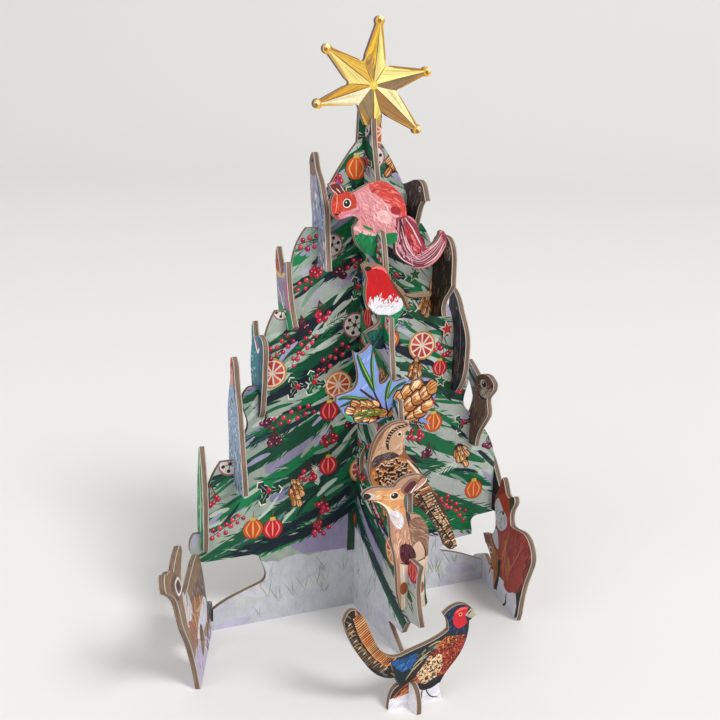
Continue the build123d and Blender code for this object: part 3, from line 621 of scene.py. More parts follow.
def partridge_print(s):
    s.fill(oval(0, 0, 45), "8a5a38")
    neck = [(-13.7, 9), (-11.5, 14.8), (-8.6, 19.4), (-5.7, 21.9), (-2, 22.4), (1.9, 21), (0.5, 17.6),
            (-0.5, 14.1), (-1.1, 10.2), (-3.3, 9.4), (-7.9, 10.4)]
    s.coat(neck, "c39a7a", 1.1, 2.6, 0.4, "b08462 dcbca0 cdaa8c", 36)
    band = [(0.7, 21.3), (-3.4, 20.6), (-6.2, 18.6), (-7.4, 15.3), (-6.8, 12.4)]
    s.stroke(band, 1.6, "2a201d", 0.5, 0.3)
    for x, y in catmull(band, 3)[1:10]:
        s.stroke([(x - 0.7, y + 0.2), (x + 0.7, y - 0.2)], 0.3, "d9b493")
    s.dot(-2.5, 18.1, 1.1, "efe2d2", 0.8, 0.9)
    s.dot(-2.5, 18, 0.65, "1c1412")
    s.blob([(-13.4, 6.8), (-12.4, 10.2), (-8.3, 11.3), (-5.3, 11.5), (-2.2, 9.6), (-4.4, 8.1), (-7.8, 8.2),
            (-10.8, 6.4)], "4b3a3a")
    s.hairs([(-13.1, 7.1), (-12, 10.2), (-5.3, 11.1), (-2.6, 9.7), (-7.8, 8.2)], 0.6, 1.8, 0.4,
            "6a5a5c 2c2224 7d6a66", 24)
    body = [(-13.2, 5.3), (-9, 8), (-2.2, 9.2), (3.3, 6.7), (7.4, 1), (9.5, -2.3), (3.7, -3.7), (-1.7, -4.1),
            (-7.4, -4.3), (-10.9, -2.3), (-12.9, 1.6)]
    s.coat(body, "b8733c", 2.2, 1.8, 0.55, "d08a4a 9a4c28 e0a668", 50)
    for _ in range(230):
        x, y = s.rng.uniform(-13, 8), s.rng.uniform(-5, 8)
        if inside(x, y, body) and math.hypot(x + 4.5, y - 1.5) < 7.5:
            s.dot(x, y, s.rng.uniform(0.55, 0.95), "3a1a16 241210 5c2a24", s.rng.uniform(0.35, 0.6),
                  s.rng.uniform(0, 3))
            s.stroke([(x - 0.8, y + 0.7), (x, y + 0.95), (x + 0.8, y + 0.6)], 0.3, "efdcc2 e3bd92")
    s.stroke([(-10.7, 4.2), (-10.2, 0.5), (-7.5, -2.8), (-2, -4.7)], 0.6, "241612")
    s.stroke([(0.9, 7.7), (5, 2.8), (9.1, -2.3)], 0.9, "efe4d2")
    s.stroke([(2.5, 6.8), (6.6, 2.6), (9.9, -1.6)], 0.7, "2a1a16")
    s.stroke([(-13.4, 4.6), (-12.5, 0.1), (-10.9, -2.7)], 1.2, "cf8a3c")
    s.fill(oval(16, -20, 5.4, 20, 0.56), "4a3022")
    line = catmull([(6.4, -6), (12.1, -15.5), (17.3, -22.5), (23.2, -31.4)], 9)
    for k, (x, y) in enumerate(line):
        t = k / len(line)
        left, right = 5.2 - 2.2 * t, 4.6 - 2.4 * t
        s.stroke([(x - left, y - 1.6), (x - 0.4 * left, y - 0.3), (x - 0.2, y + 0.7)], 0.5,
                 "1a110e 2b1a14 20140f", 0.6, 0.4)
        s.stroke([(x - left * 0.9, y - 1.9), (x - left * 0.4, y - 0.9)], 0.28, "8a6a4c 6b4c36")
        s.stroke([(x + 0.3, y + 0.2), (x + right, y + 1.5)], 0.75, "e6c49a c98858 f0e0c4 b8663c", 0.6, 0.5)
        s.stroke([(x + 0.3, y - 0.3), (x + right * 0.8, y + 0.8)], 0.4, "1c1210 2c1a14", 0.6, 0.3)
    for _ in range(120):
        x, y = s.rng.choice(line)
        x, y = x + s.rng.uniform(-3.6, 3.4), y + s.rng.uniform(-1, 1.4)
        a = s.rng.uniform(-0.4, 0.9)
        s.stroke([(x - math.cos(a), y - math.sin(a)), (x, y + 0.5), (x + math.cos(a), y + math.sin(a))], 0.5,
                 "15100d e0bf94 8a5a3c 2a1a14 b98a60", 0.4, 0.3)
    s.stroke(line[::3], 0.55, "17100d")
    s.stroke([(x + 3.6 - 0.07 * k, y + 1.3) for k, (x, y) in enumerate(line)][::5], 0.4, "2a1a14")


def deer_print(s):
    s.fill(oval(0, 0, 50), "b98d70")
    face = [(-18.9, 27.8), (-14.8, 28.9), (-9.6, 28.8), (-5.7, 28.6), (-3.1, 25.9), (-2.4, 23.2),
            (-3.3, 19.5), (-3.9, 17.5), (-8.8, 19.1), (-12.9, 22.7), (-17.3, 25.5)]
    s.coat(face, "dd9a5e", 0.1, 3.4, 0.5, "e8b98a d07f44 efcda6", 40)
    s.blob([(-17.3, 25.7), (-13.4, 24.5), (-8.4, 20.3), (-8.8, 18.2), (-13.8, 22.8)], "f2dfc8")
    s.blob([(-21.6, 28.4), (-18.4, 29), (-15.6, 27.4), (-16, 25.7), (-18.6, 25.4), (-21.8, 26.4)], "d3c2b0")
    s.blob([(-21.4, 28.6), (-19.2, 28.8), (-17.6, 27.6), (-18.6, 26.4), (-21, 26.8)], "241c1a")
    s.stroke([(-19.6, 26), (-17, 25.9), (-15, 25.2)], 0.35, "6a4a3c")
    s.dot(-8.2, 26.3, 1.9, "f0d8bc", 1.6)
    s.dot(-8.1, 26.3, 1.5, "14100f", 1.15)
    s.dot(-8.6, 26.7, 0.3, "e8e8ee")
    s.blob([(-5.7, 28.2), (-4, 30.7), (-1.4, 32.2), (1, 31.7), (1.4, 29.5), (-1.2, 26.9), (-3.4, 25.9)],
           "8c6a58")
    s.blob([(-4.3, 28), (-2.7, 30.1), (-0.5, 31), (0.6, 29.8), (-1.2, 27.8), (-3.2, 26.6)], "5a2226")
    s.blob([(-2.8, 24.2), (-1.2, 26.5), (2.7, 28.9), (6.3, 30.1), (7.5, 28.6), (6.5, 25.8), (2.1, 24.3)],
           "7c5c4c")
    s.blob([(-2, 24.5), (0.2, 26.1), (3.7, 27.7), (5.9, 28), (5.1, 26), (1.6, 25)], "d9978a")
    s.fill([(-0.9, 26.6), (0.9, 29.8), (2.2, 32.6), (6.4, 33), (5.6, 29.6), (2.4, 27.4)], "7c5c4c")
    s.fill([(-0.2, 27.4), (1.4, 29.9), (2.9, 31.6), (4.4, 31.5), (3.9, 30.2), (1.8, 28.4)], "d3907f")
    s.stroke([(-0.4, 27), (1.9, 28.2), (4.2, 30), (4.8, 31.6)], 0.5, "f4e6da")
    s.stroke([(-3, 22.9), (0.7, 24.5), (5.2, 25.1), (6.9, 26.6)], 0.6, "f4e6da")
    s.stroke([(-3.5, 24), (-1.2, 26.9), (0.9, 29.6)], 0.5, "f4e6da")
    chest = [(-8.5, 15.6), (-4.3, 15.4), (-1.5, 13.2), (-0.8, 7.9), (0.3, 2.4), (1.9, -2.3), (-4.9, -1.5),
             (-6.9, 3.7), (-8, 9.9)]
    s.coat(chest, "cc9676", 1.5, 3.6, 0.5, "dcb094 b87c5c e6c4ac", 44)
    s.blob([(-9.8, 19.2), (-6.9, 20.4), (-4.2, 17.3), (-4.1, 14), (-6, 12.8), (-8.3, 15.4)], "dddae6")
    s.hairs([(-9.4, 19), (-6.9, 20), (-4.4, 17.2), (-4.4, 13.4), (-6, 12.6), (-8.2, 15.4)], -1, 2.2, 0.4,
            "f2f0f8 c9c2d2 e6c8b0", 30)
    s.stroke([(-3, 22.5), (-2.5, 18.5), (-1.6, 14.9), (-0.7, 10.5)], 1.6, "453f41", 0.5, 0.3)
    body = [(-1.6, 15.4), (1, 16.7), (5.2, 15.6), (7.6, 11.7), (8.4, 6.3), (7.9, 0.6), (4.1, -0.9),
            (0.8, 2.3), (-1.1, 8.8)]
    s.coat(body, "8d6752", lambda x, y: 2 + 0.05 * y, 3, 0.4, "6f4e3e a98268 7d5a48 b8937a", 90)
    s.blob([(0.2, 4.2), (2.9, 6.6), (4.8, 4.3), (5.2, -0.2), (1.8, -1)], "dcb9a0")
    s.stroke([(3.1, 6.8), (5, 3.8), (5.9, 0.1), (5.1, -1.5)], 0.5, "4a2e26")
    patch = [(-5, 5.7), (-2.8, 6.4), (-0.2, 5.1), (1.7, 1.3), (1, -1.7), (-2.2, -1.8), (-4.6, 0.6)]
    s.coat(patch, "532430", 1.5, 2.2, 0.4, "2e1218 6e3440 241014", 30, smooth=True)
    s.fill([(-2.2, -1.6), (6, -1.2), (8.7, 0.1), (10.6, -21.1), (7.4, -31), (-3.3, -30.2), (-3.7, -21)],
           "1d5a3c")
    s.hairs([(-0.8, -14.8), (6.7, -16.2), (6.4, -29.9), (-1.1, -28.3)], 1.2, 3.6, 0.7,
            "2f8f60 0f3f2c dfe9df 1b7a4c", 30)
    s.fill([(-2, -2.5), (-0.4, -2.8), (0.5, -16.8), (-1.4, -16.5)], "15262c")
    s.fill([(-5, -1.1), (-1.3, -2), (-1.3, -10.6), (-0.9, -22.4), (-3.4, -21.9), (-4.1, -10.1)], "ecd7c0")
    s.fill([(-1.3, -2.2), (1.9, -2.7), (2.3, -11.3), (3, -17.3), (1.2, -17), (0.4, -11)], "d9a898")
    s.fill([(1.6, -1.8), (5.7, -1.2), (5.7, -11.1), (6.2, -17.5), (7, -23.1), (5.1, -22.3), (3.2, -11.5)],
           "ecd5bb")
    s.fill([(5.7, -0.3), (8.4, 0.6), (7.7, -7.8), (9.3, -20.8), (7.6, -20.5), (5.9, -7.5)], "e6c3b4")
    s.strokes(([(-3.5, -2.2), (-2.8, -9.9), (-2.2, -20.8)], [(3.7, -2.6), (4.3, -10.3), (5.4, -18.2)],
               [(6.7, -1.8), (6.9, -8.6), (8.2, -17.9)]), 0.6, "fbf3e6")
    for x, y in [(-2.9, -11.7), (4.2, -12.6)]:
        s.dot(x, y, 1.6, "a85c3a", 2.6)
    for x, y in [(-2.2, -21.7), (6.3, -22.5), (8.3, -20.2)]:
        s.dot(x, y, 1.3, "6e5a52", 0.8)
    s.stroke([(-4.9, -1.1), (-1.8, -2), (1.9, -1.9), (5.9, -0.3)], 0.6, "3a1d20")


def pheasant_print(s):
    s.fill(oval(0, 10, 60), "2a211d")
    s.fill([(-14, -3), (18, -3), (16, 5.5), (9, 7), (3, 5.5), (-4, 5), (-12, 4)], "e9e6ee")
    s.hairs([(-12, 0), (16, 0), (14, 4), (-9, 4)], 0.3, 4, 0.6, "f6f4f8 d4d0dc", 16, amount=0.04)
    low = [(-27.1, 39.4), (-24.5, 43.7), (-21, 39.2), (-16.2, 29), (-12.1, 22.7), (-5, 15), (-7.1, 13.3),
           (-12.9, 15), (-19.8, 21.6), (-24.5, 28.7), (-26.7, 34.8)]
    s.fill(low, "1d1613")
    spine = catmull([(-24.4, 36.7), (-21, 27.9), (-15.9, 21.8), (-10.1, 16.9)], 8)
    s.hairs(low, -0.95, 3.4, 0.5, "6a553c 8d7450 3c2f24 15100e 52606a", 60)
    for k, (x, y) in enumerate(spine):
        s.stroke([(x - 2.2, y - 1.2), (x - 0.6, y - 0.2), (x + 0.8, y + 0.2)], 0.45, "7d6244 5c4632 a08458",
                 0.4, 0.2)
        if k % 3 == 0:
            s.stroke([(x - 1, y - 0.2), (x + 0.3, y + 0.8)], 0.4, "d9c8a8")
    s.fill([(-23.1, 42.4), (-20.3, 38.3), (-18, 32.2), (-15.1, 27.3), (-11.7, 22.7), (-8, 19.3), (-10.1, 18),
            (-14.9, 21.9), (-18.6, 27.4), (-20.8, 32.8), (-22.3, 37.7)], "c9814c")
    edge = catmull([(-22, 39.7), (-19.8, 33.3), (-16.5, 27.3), (-13.2, 23), (-9.1, 19)], 8)
    for x, y in edge:
        s.stroke([(x - 1.4, y - 1.1), (x + 2.6, y + 1.6)], 0.9, "d98a4e c9743a e3a468", 0.8, 0.6)
        s.stroke([(x - 1.3, y - 0.7), (x + 2.4, y + 1.9)], 0.4, "3a2016 2a1812", 0.6, 0.4)
    backside = [(-8.8, 19.5), (1.3, 21.2), (11.1, 24.2), (13.6, 26.3), (13.4, 22.6), (6.2, 19.1), (2.3, 15.5),
                (-1.2, 11.2), (-4.7, 9), (-7.1, 14)]
    s.fill(backside, "12262f")
    s.blob([(-8.6, 19.3), (-3.7, 19.4), (1.7, 20.4), (0.8, 16.6), (-3.5, 14.3), (-5.7, 15.9)], "1b4f88")
    s.hairs([(-8, 18.9), (1.4, 20.1), (0.1, 16), (-4.2, 14.8)], 0.9, 2.4, 0.5, "2a6aa8 123a68 3f86c0", 22)
    s.hairs([(1.4, 19.8), (12.3, 23.6), (6.2, 19.1), (-0.2, 13.5)], 0.7, 3, 0.4,
            "b89a6a 2f4a50 6d5a3c 0c161a 8fa0a4", 40)
    s.strokes(([(6, 22), (9.3, 23.2), (11.9, 23)], [(0.1, 15.3), (3.3, 18.2), (7.2, 20.3)],
               [(-2.6, 10.8), (0.5, 14.5), (4.4, 17.3)]), 0.45, "c9ab74")
    breast = [(13, 24.2), (20.9, 24), (21.4, 18.7), (18.8, 14), (14.1, 10.2), (10.4, 9.2), (12, 14.1),
              (11.5, 17.9), (6.2, 18.7), (9.8, 20.8)]
    s.coat(breast, "9a3426", 2.2, 1.2, 0.5, "b8502e 7a1f20 c86c34 a82a28", 150)
    s.stroke([(9.4, 20.9), (13.2, 23.6), (18, 24.2)], 1.6, "c06a30", 0.4, 0.3)
    s.hairs([(10, 20), (21, 23), (21, 25), (12, 24)], 1.4, 1.4, 0.4, "e09a4a 6e2a1c", 26)
    for _ in range(420):
        x, y = s.rng.uniform(6, 22), s.rng.uniform(9, 25)
        if inside(x, y, breast):
            s.dot(x, y, 0.3, "3c1412 5a1c1a")
    flank = [(6.2, 18.3), (11.5, 17.9), (12.3, 13.3), (10.4, 9.6), (5.3, 7.4), (1.5, 9.1), (2.1, 12.2),
             (5.2, 16.3)]
    s.fill(flank, "dcb488")
    for k in range(320):
        x, y = s.rng.uniform(1, 13), s.rng.uniform(7, 19)
        if inside(x, y, flank):
            s.dot(x, y, s.rng.uniform(0.3, 0.5), "f6ead2 e9cfa6 c98a58" if k < 140
                  else "2a1712 4a2318 1d1210", 0.28, 0.6)
    s.stroke([(1.5, 8.3), (6.4, 5.8), (10.5, 7.3), (14.5, 9.4), (18.9, 13.3)], 1.8, "141a20", 0.4, 0.2)
    s.fill([(-7.5, 4.9), (-4.7, 7.5), (-1.1, 9.7), (1.8, 11.2), (3.3, 9), (0.5, 5.9), (-3.8, 4.7)], "a65a36")
    s.hairs([(-6.8, 5.1), (-1.1, 9.3), (2.1, 10.8), (0.9, 6.6), (-3.9, 5.1)], 0.7, 3.6, 0.4,
            "5a2f20 d98a54 c8784a 3a2018", 26)
    s.stroke([(1.6, 7.2), (5, 5.6), (8.3, 5.9)], 1.3, "1a1513", 0.4, 0.3)
    head = [(11, 34.5), (13.1, 35.5), (16.1, 36), (21.4, 35.3), (21.7, 29.4), (20.7, 23.9), (14.1, 24.5),
            (13.3, 29.3)]
    s.coat(head, "14243c", 1.3, 1.4, 0.35, "22406a 0c1626 2f5a72", 30)
    s.blob([(15.6, 32.1), (16.9, 34.4), (21.4, 34.7), (20.5, 31.5), (21.2, 28.4), (18.1, 26.8), (15.8, 29.1)],
           "d2202e")
    s.stroke([(16.2, 33), (18.4, 34.4), (21.1, 34.3)], 1, "ea5a5a")
    s.dot(18.4, 32.3, 0.7, "f0b070")
    s.dot(18.4, 32.3, 0.42, "140d0c")
    s.fill([(20.3, 31.7), (22.6, 34), (25, 31.6), (24, 29.6), (21.7, 30.5)], "b0a48f")
    s.stroke([(21.2, 31.5), (23, 33.1)], 0.5, "2a2220")
    s.strokes(([(4.4, 5.4), (4.1, 3.6), (4.1, 1)], [(5.7, 5.4), (6.6, 3.4), (8.1, 1.7), (10.8, 0.8)]), 0.55,
              "2a3238", 0.7, 0.4)


def stag_print(s):
    s.fill(oval(30, 25, 70), "97795f")
    s.hairs([(-14, -12), (66, -12), (66, 62), (-14, 62)], 1.2, 5, 0.8, "86694f b8977c 75594a a6866a", 260)
    base = [(44.2, 0.4), (44.7, 13.2), (36.2, 15.2), (25.2, 12.5), (19.1, 7.5), (8.7, 4), (-4.5, 6.5),
            (-30.5, -3.7), (-15.5, -14.6), (27.7, -11.1)]
    s.coat(base, "c3b9d2", 1.3, 4, 0.8, "d6cfe0 aca0c2 e6e2ee 9c93b4", 70)
    body = [(36, 33), (20, 31), (0.4, 29), (-14, 28), (-10, 6), (8.9, 12), (24, 18), (34, 24)]
    s.coat(body, "806459", 1.25, 4.2, 0.6, "5a463e a58c7c 6b544c c0a898 4c3c38", 210)
    stripe = [(-1.3, 28.4), (-14, 26), (-12, 8.5), (-8, 2.4), (2, 6), (6.5, 15.7), (4, 22.8)]
    s.coat(stripe, "5d6068", 1.4, 4.6, 0.7, "43464e 8c929c 34363c a8acb4 5f5550", 100, smooth=True)
    rump = [(33, 30), (20, 25), (10.2, 19.1), (17, 15.1), (28.9, 14.4), (37, 13.5), (39.5, 21), (37, 28)]
    s.coat(rump, "b0754a", 1.3, 4, 0.6, "d39a66 8f5a34 e6bd90 a8683c 74472e", 110, smooth=True)
    s.stroke([(16, 20.6), (22, 21), (29, 24)], 1.6, "e3b988")
    pale = [(10.5, 19.7), (4.2, 14.5), (10.6, 9.4), (24.3, 11.5), (33.9, 15.4), (26.3, 18.4)]
    s.coat(pale, "dedbe5", 1.2, 3, 0.6, "f4f2f8 c4bdcc e8e4ec cbb8ac", 40, smooth=True)
    s.stroke([(-3.9, 7.9), (4, 7.7), (10.9, 6.1), (15.1, 2.7), (16.4, -0.6)], 1.4, "4e4238")
    s.hairs([(5.9, 9.2), (0.6, 2), (14.8, -1.6), (18.4, 3)], 1.1, 3.4, 0.7, "7a5c48 4c3a30 a08468", 26)
    chest = [(49, 41.6), (41.8, 39.1), (36.3, 32.2), (35.9, 27.2), (46.7, 27.2), (48.8, 33.6)]
    s.coat(chest, "e2d9d8", 1.2, 3.2, 0.6, "c4b4b0 f4eeec d3bdb2 b09a90", 34, smooth=True)
    s.coat([(45.6, 28.7), (38.2, 24.2), (33.7, 15.4), (37.1, 13.9), (44.4, 21.7)], "b0704c", 1.1, 3.4, 0.6,
           "8f5438 d39a78 c07c54 6e4634", 40, smooth=True)
    s.stroke([(41.6, 38.4), (42.4, 35.8), (44.2, 33.8)], 1.5, "43383a", 0.4, 0.3)
    s.blob([(64.3, 54.2), (55.3, 52.3), (47.1, 44.3), (47.6, 41.6), (58.1, 44.2), (65, 51.4)], "7c5f4e")
    s.hairs([(64, 54), (55, 52), (47, 45), (48, 41), (58, 44), (65, 51)], 0.6, 3, 0.5, "5c463a a98a74 4a3830",
            50)
    s.hairs([(22, 44), (46, 41), (48, 47), (40, 53), (22, 53)], 0.15, 3.6, 0.6,
            "5c4a3a b39c86 4a3a30 d6c6b6 a07c74", 80)
    s.strokes(([(47.6, 45.8), (40, 46.2), (32, 48.4)], [(46.8, 42.4), (40.4, 42.8), (33.2, 44.8)]), 0.8,
              "e8dccf", 0.5, 0.3)
    loop = [(58.8, 50), (52, 49.4), (48, 43.6), (55.4, 44.4)]
    for grow, colour in ((1.12, "f1eae3"), (0.78, "6f4a48"), (0.4, "4a3032")):
        s.blob([(53.6 + (x - 53.6) * grow, 46.9 + (y - 46.9) * grow) for x, y in loop], colour)


def fox_print(s):
    s.fill(oval(20, 25, 70), "93382c")
    base = [(-12, -2), (46, -2), (44, 12), (12, 10), (8, 14), (-2, 14), (-12, 10)]
    s.fill(base, "dcdbe6")
    body = [(14.9, 29.8), (29.8, 37.9), (42.1, 41.3), (50.3, 38.6), (51.6, 30.8), (48.7, 21.9), (42.9, 14.9),
            (35.4, 10.5), (24.2, 11.2), (19.4, 17.4)]
    s.coat(body, "a8352a", 1.1, 4.5, 0.8, "8f2a22 b84836 a53026 7a2420 bc5a3e", 170, 0.3, 0.1, smooth=True)
    s.hairs([(52, 38), (52, 26), (44, 12), (40, 13), (45, 24), (48, 36)], 1.2, 5, 1, "6a201c 58201c 7c2a22",
            50, 0.25, 0.1)
    s.hairs([(20, 16), (32, 12), (30, 20), (24, 30)], 1.3, 4.5, 0.9, "b8643a c47a48 a04a30", 40, 0.25, 0.1)
    s.stroke([(27.8, 35), (25.5, 26.2), (24.5, 17.2), (24.2, 11.2)], 1, "b8683c", 0.4, 0.3)
    s.stroke([(42, 34.8), (36.4, 26.6), (30.5, 18.1), (25.5, 10.8)], 0.5, "c98a68")
    s.blob([(25.6, 9.8), (34.3, 17.3), (40.7, 28.6), (43.6, 32), (43.8, 24), (38.4, 13.6), (30.9, 8.2)],
           "a83c30")
    s.fill([(38.2, 11.4), (45, 16.5), (43.5, 11.6), (43.1, 3.1), (38.2, 0.4), (39.6, 6.4)], "15181c")
    s.blob([(14.6, 43.9), (18.4, 47.5), (25.5, 49.4), (27.3, 42), (26.4, 36.4), (21.3, 37.3), (19.4, 41.7)],
           "b8442a")
    s.blob([(25.7, 48.4), (30, 51.2), (32.6, 49.8), (29.8, 45.1), (28.2, 40.3)], "3f4a34")
    s.blob([(11.1, 39.3), (14.6, 43.9), (20.1, 41), (24, 39.5), (24.7, 35.2), (19.2, 30.9), (13.9, 32)],
           "dfe0ea")
    s.hairs([(11.1, 39.3), (20.1, 41), (24.7, 35.2), (19.2, 30.9), (13.9, 32)], 1, 2.6, 0.5,
            "b9bccb f0f1f6 9ea1b4 d0b8b0", 44)
    s.dot(20.4, 39.6, 1.1, "0e0c0c", 0.85)
    s.blob([(11.9, 28.4), (15.6, 29.5), (17.9, 22.6), (14.9, 21.7), (10.4, 25.1)], "cfd0dc")
    cub = [(-0.5, 21.6), (9.3, 24), (12.3, 21.1), (18, 18.4), (20.4, 15.2), (19, 3.8), (15.3, 2.4),
           (13.8, 11.5), (8.1, 14.3), (3.6, 17.6)]
    s.coat(cub, "b3713a", 1.9, 3, 0.6, "c98a4c 9a5a2c 8a4a30", 30)
    s.fill([(0.2, 21.6), (8, 23.5), (9.8, 20.5), (4.7, 19.2)], "7a4a3c")
    s.dot(9.9, 18, 1.8, "e6e2e4", 1.5)
    s.dot(10.2, 18.1, 1.15, "16161c", 1)
    s.fill([(18.1, 17.4), (21.2, 18.3), (20.9, 11.8), (19, 3.5), (15.9, 2.2), (18.5, 10.6)], "14161a")
    s.stroke([(9.4, 6.1), (10.8, 9.5), (13.1, 12.3)], 1.2, "b3713a")
    s.stroke([(28.7, 6.6), (28.7, 2.3), (26, -0.2)], 1.2, "14161a", 0.7, 0.5)


def left_bird_print(s):
    s.fill(oval(0, 5, 50), "8f96ac")
    s.hairs([(-12, 2), (0, 2), (0, 26), (-12, 26)], 1.8, 3, 0.5, "c9a8b4 a08a9c e2d6de 8a90aa b98f9c", 110)
    s.hairs([(-4, -6), (12, -6), (10, 14), (-2, 14)], 1.8, 2.4, 0.5,
            "5c7ca6 dfe6ee 2a3a58 8fb0d0 15202e 7d93b8", 130)
    s.coat([(-9, 27), (-4, 29), (-1, 24), (-3, 19), (-8, 20)], "80645a", 1.5, 2, 0.4, "5a443e a88c80 6e544c",
           30, smooth=True)
    s.dot(-5.6, 24.4, 0.7, "15161c")
    s.hairs([(2, -16), (10, -16), (9, -4), (3, -4)], 1.6, 3, 0.5, "e6dcd2 7a5c4c 3a2e2c c9b8a8", 34)
    s.stroke([(-2, 20), (3, 10), (6, 0)], 1, "2d3c56")


def left_small_bird_print(s):
    s.fill(oval(0, 5, 50), "8d7f9c")
    s.fill([(-16, 16), (-6, 26), (-2, 14), (-9, 13)], "a3402f")
    s.stroke([(-12, 14), (-6, 12), (0, 14)], 1.6, "e2b03e", 0.5, 0.4)
    s.blob([(0, 12), (5, 8), (8, -2), (3, 0)], "cc4f78")
    s.hairs(oval(-4, 6, 7, 9), 2, 2.4, 0.45, "b8acc4 6a5c7e dcd6e2", 50)
    s.fill([(-14, -9), (10, -9), (6, 0), (-10, 2)], "1d8a5c")
    s.stroke([(-6, 6), (0, -2), (4, -8)], 0.8, "eee6dc", 0.4, 0.3)
    s.dot(-8.4, 17.5, 0.6, "14100f")


def kingfisher_print(s):
    s.fill(oval(0, 5, 50), "1e7c90")
    s.hairs([(-10, -4), (-2, -4), (-1, 22), (-9, 24)], 1.6, 1, 0.6, "b9d6de 8fbccb e4eef0 4c9cb4", 90)
    s.fill([(1.4, 20), (8, 18), (8, -14), (2, -14)], "15586e")
    s.hairs([(1, -12), (7, -10), (7, 18), (1, 18)], 1.5, 3, 0.5, "0f3d52 2a9ab0 1a6a84", 30)
    s.stroke([(-5, 25), (-2.5, 18.5), (2, 14)], 1.3, "c6262e", 0.4, 0.3)
    s.stroke([(-3.4, 18), (0.4, 13.5), (2.4, 15.5)], 1.2, "f1f1f1", 0.4, 0.4)
    s.fill([(-8, -14), (8, -14), (6, -2), (-6, 0)], "2e3338")
    s.hairs([(-6, -13), (5, -12), (5, 0), (-6, 0)], 1.5, 3, 0.5, "515a60 1b1f24 6e6a60", 24)


def woodpecker_print(s):
    s.fill(oval(0, 12, 60), "8ea4c0")
    s.hairs([(-10, -12), (16, -12), (10, 38), (-6, 38)], 1.6, 1.5, 0.5,
            "c4d0de 5f7aa2 e2e8ee 7f93ae 2b3340 46608a ececf0", 360)
    s.fill([(-4, 36), (3, 34), (3, 44), (-4, 44)], "bb4038")
    s.fill([(-3, 30), (4, 30), (3, 36), (-3, 37)], "d69a90")
    s.hairs([(-4, 29), (4, 29), (3, 43), (-4, 43)], 1.5, 2, 0.4, "8a3630 d8908a a8564e", 24)
    s.stroke([(1, 40), (2, 33), (3, 24)], 1.2, "2a3c5a", 0.4, 0.3)
    s.dot(-0.2, 38.3, 0.6, "15100f")
    s.hairs([(2, -12), (16, -12), (12, 6), (3, 6)], 1.7, 3.4, 0.6, "2b2628 d9d3d8 4a4c58 8a8f9e", 50)


def slim_leaf_print(s):
    s.fill(oval(0, 12, 60), "1a7a4a")
    s.hairs([(-5, -8), (6, -8), (3, 34), (-2, 36)], 1.6, 5, 0.6, "0c5534 3aa468 9cc8a0 146a44", 60)
    s.stroke([(0, -7), (1, 14), (-0.4, 34)], 0.6, "d9e8d2")


def right_bird_print(s):
    s.fill(oval(4, 5, 50), "4a3538")
    s.hairs(oval(3, 5, 14, 16), 1.3, 3.4, 0.6, "6e5a58 2a2430 8a5a58 3a2a30 98867e", 130)
    s.fill([(12, 20), (20, 14), (16, 9), (11, 13)], "5c4a44")
    s.dot(11.4, 14.6, 1, "cfc8cc", 1.1)
    s.dot(11.5, 14.6, 0.55, "121012")
    s.hairs(oval(-1, 12, 5, 4), 0.5, 2, 0.5, "4a5a74 2a3448", 20)


def brown_owl_print(s):
    s.fill(oval(6, 8, 50), "30231f")
    s.hairs(oval(6, 10, 14, 20), 1.45, 4, 0.7, "4a342a 1a1413 6a4c3a 2a1e1a 7d6450", 170)
    s.blob([(9, 27), (14, 27), (16, 20), (11, 18)], "6e5a4c")
    s.hairs([(9, 27), (15, 26), (16, 18), (10, 18)], 1.3, 2, 0.45, "a08c78 4a3a30 c0ac96", 20)
    s.dot(12.4, 22.6, 1, "c9bca4", 1.1)
    s.dot(12.4, 22.6, 0.6, "0f0c0b")


def ruffled_bird_print(s):
    s.fill(oval(4, 8, 50), "2a3040")
    s.hairs(oval(4, 12, 10, 24), 1.5, 4, 0.7, "1a2030 46506a 5a564e 141820 3a4a6a", 130)
    s.hairs([(-4, -10), (8, -8), (11, 8), (-3, 10)], 1.5, 4, 0.7, "5e5548 766a58 3a342e 8c7e68", 60)
    s.stroke([(1, 30), (6, 20), (7, 6), (5, -4)], 0.5, "8d95a8")
    s.dot(2.6, 25, 0.6, "cfd2d8")
    s.dot(2.6, 25, 0.32, "0f0f12")


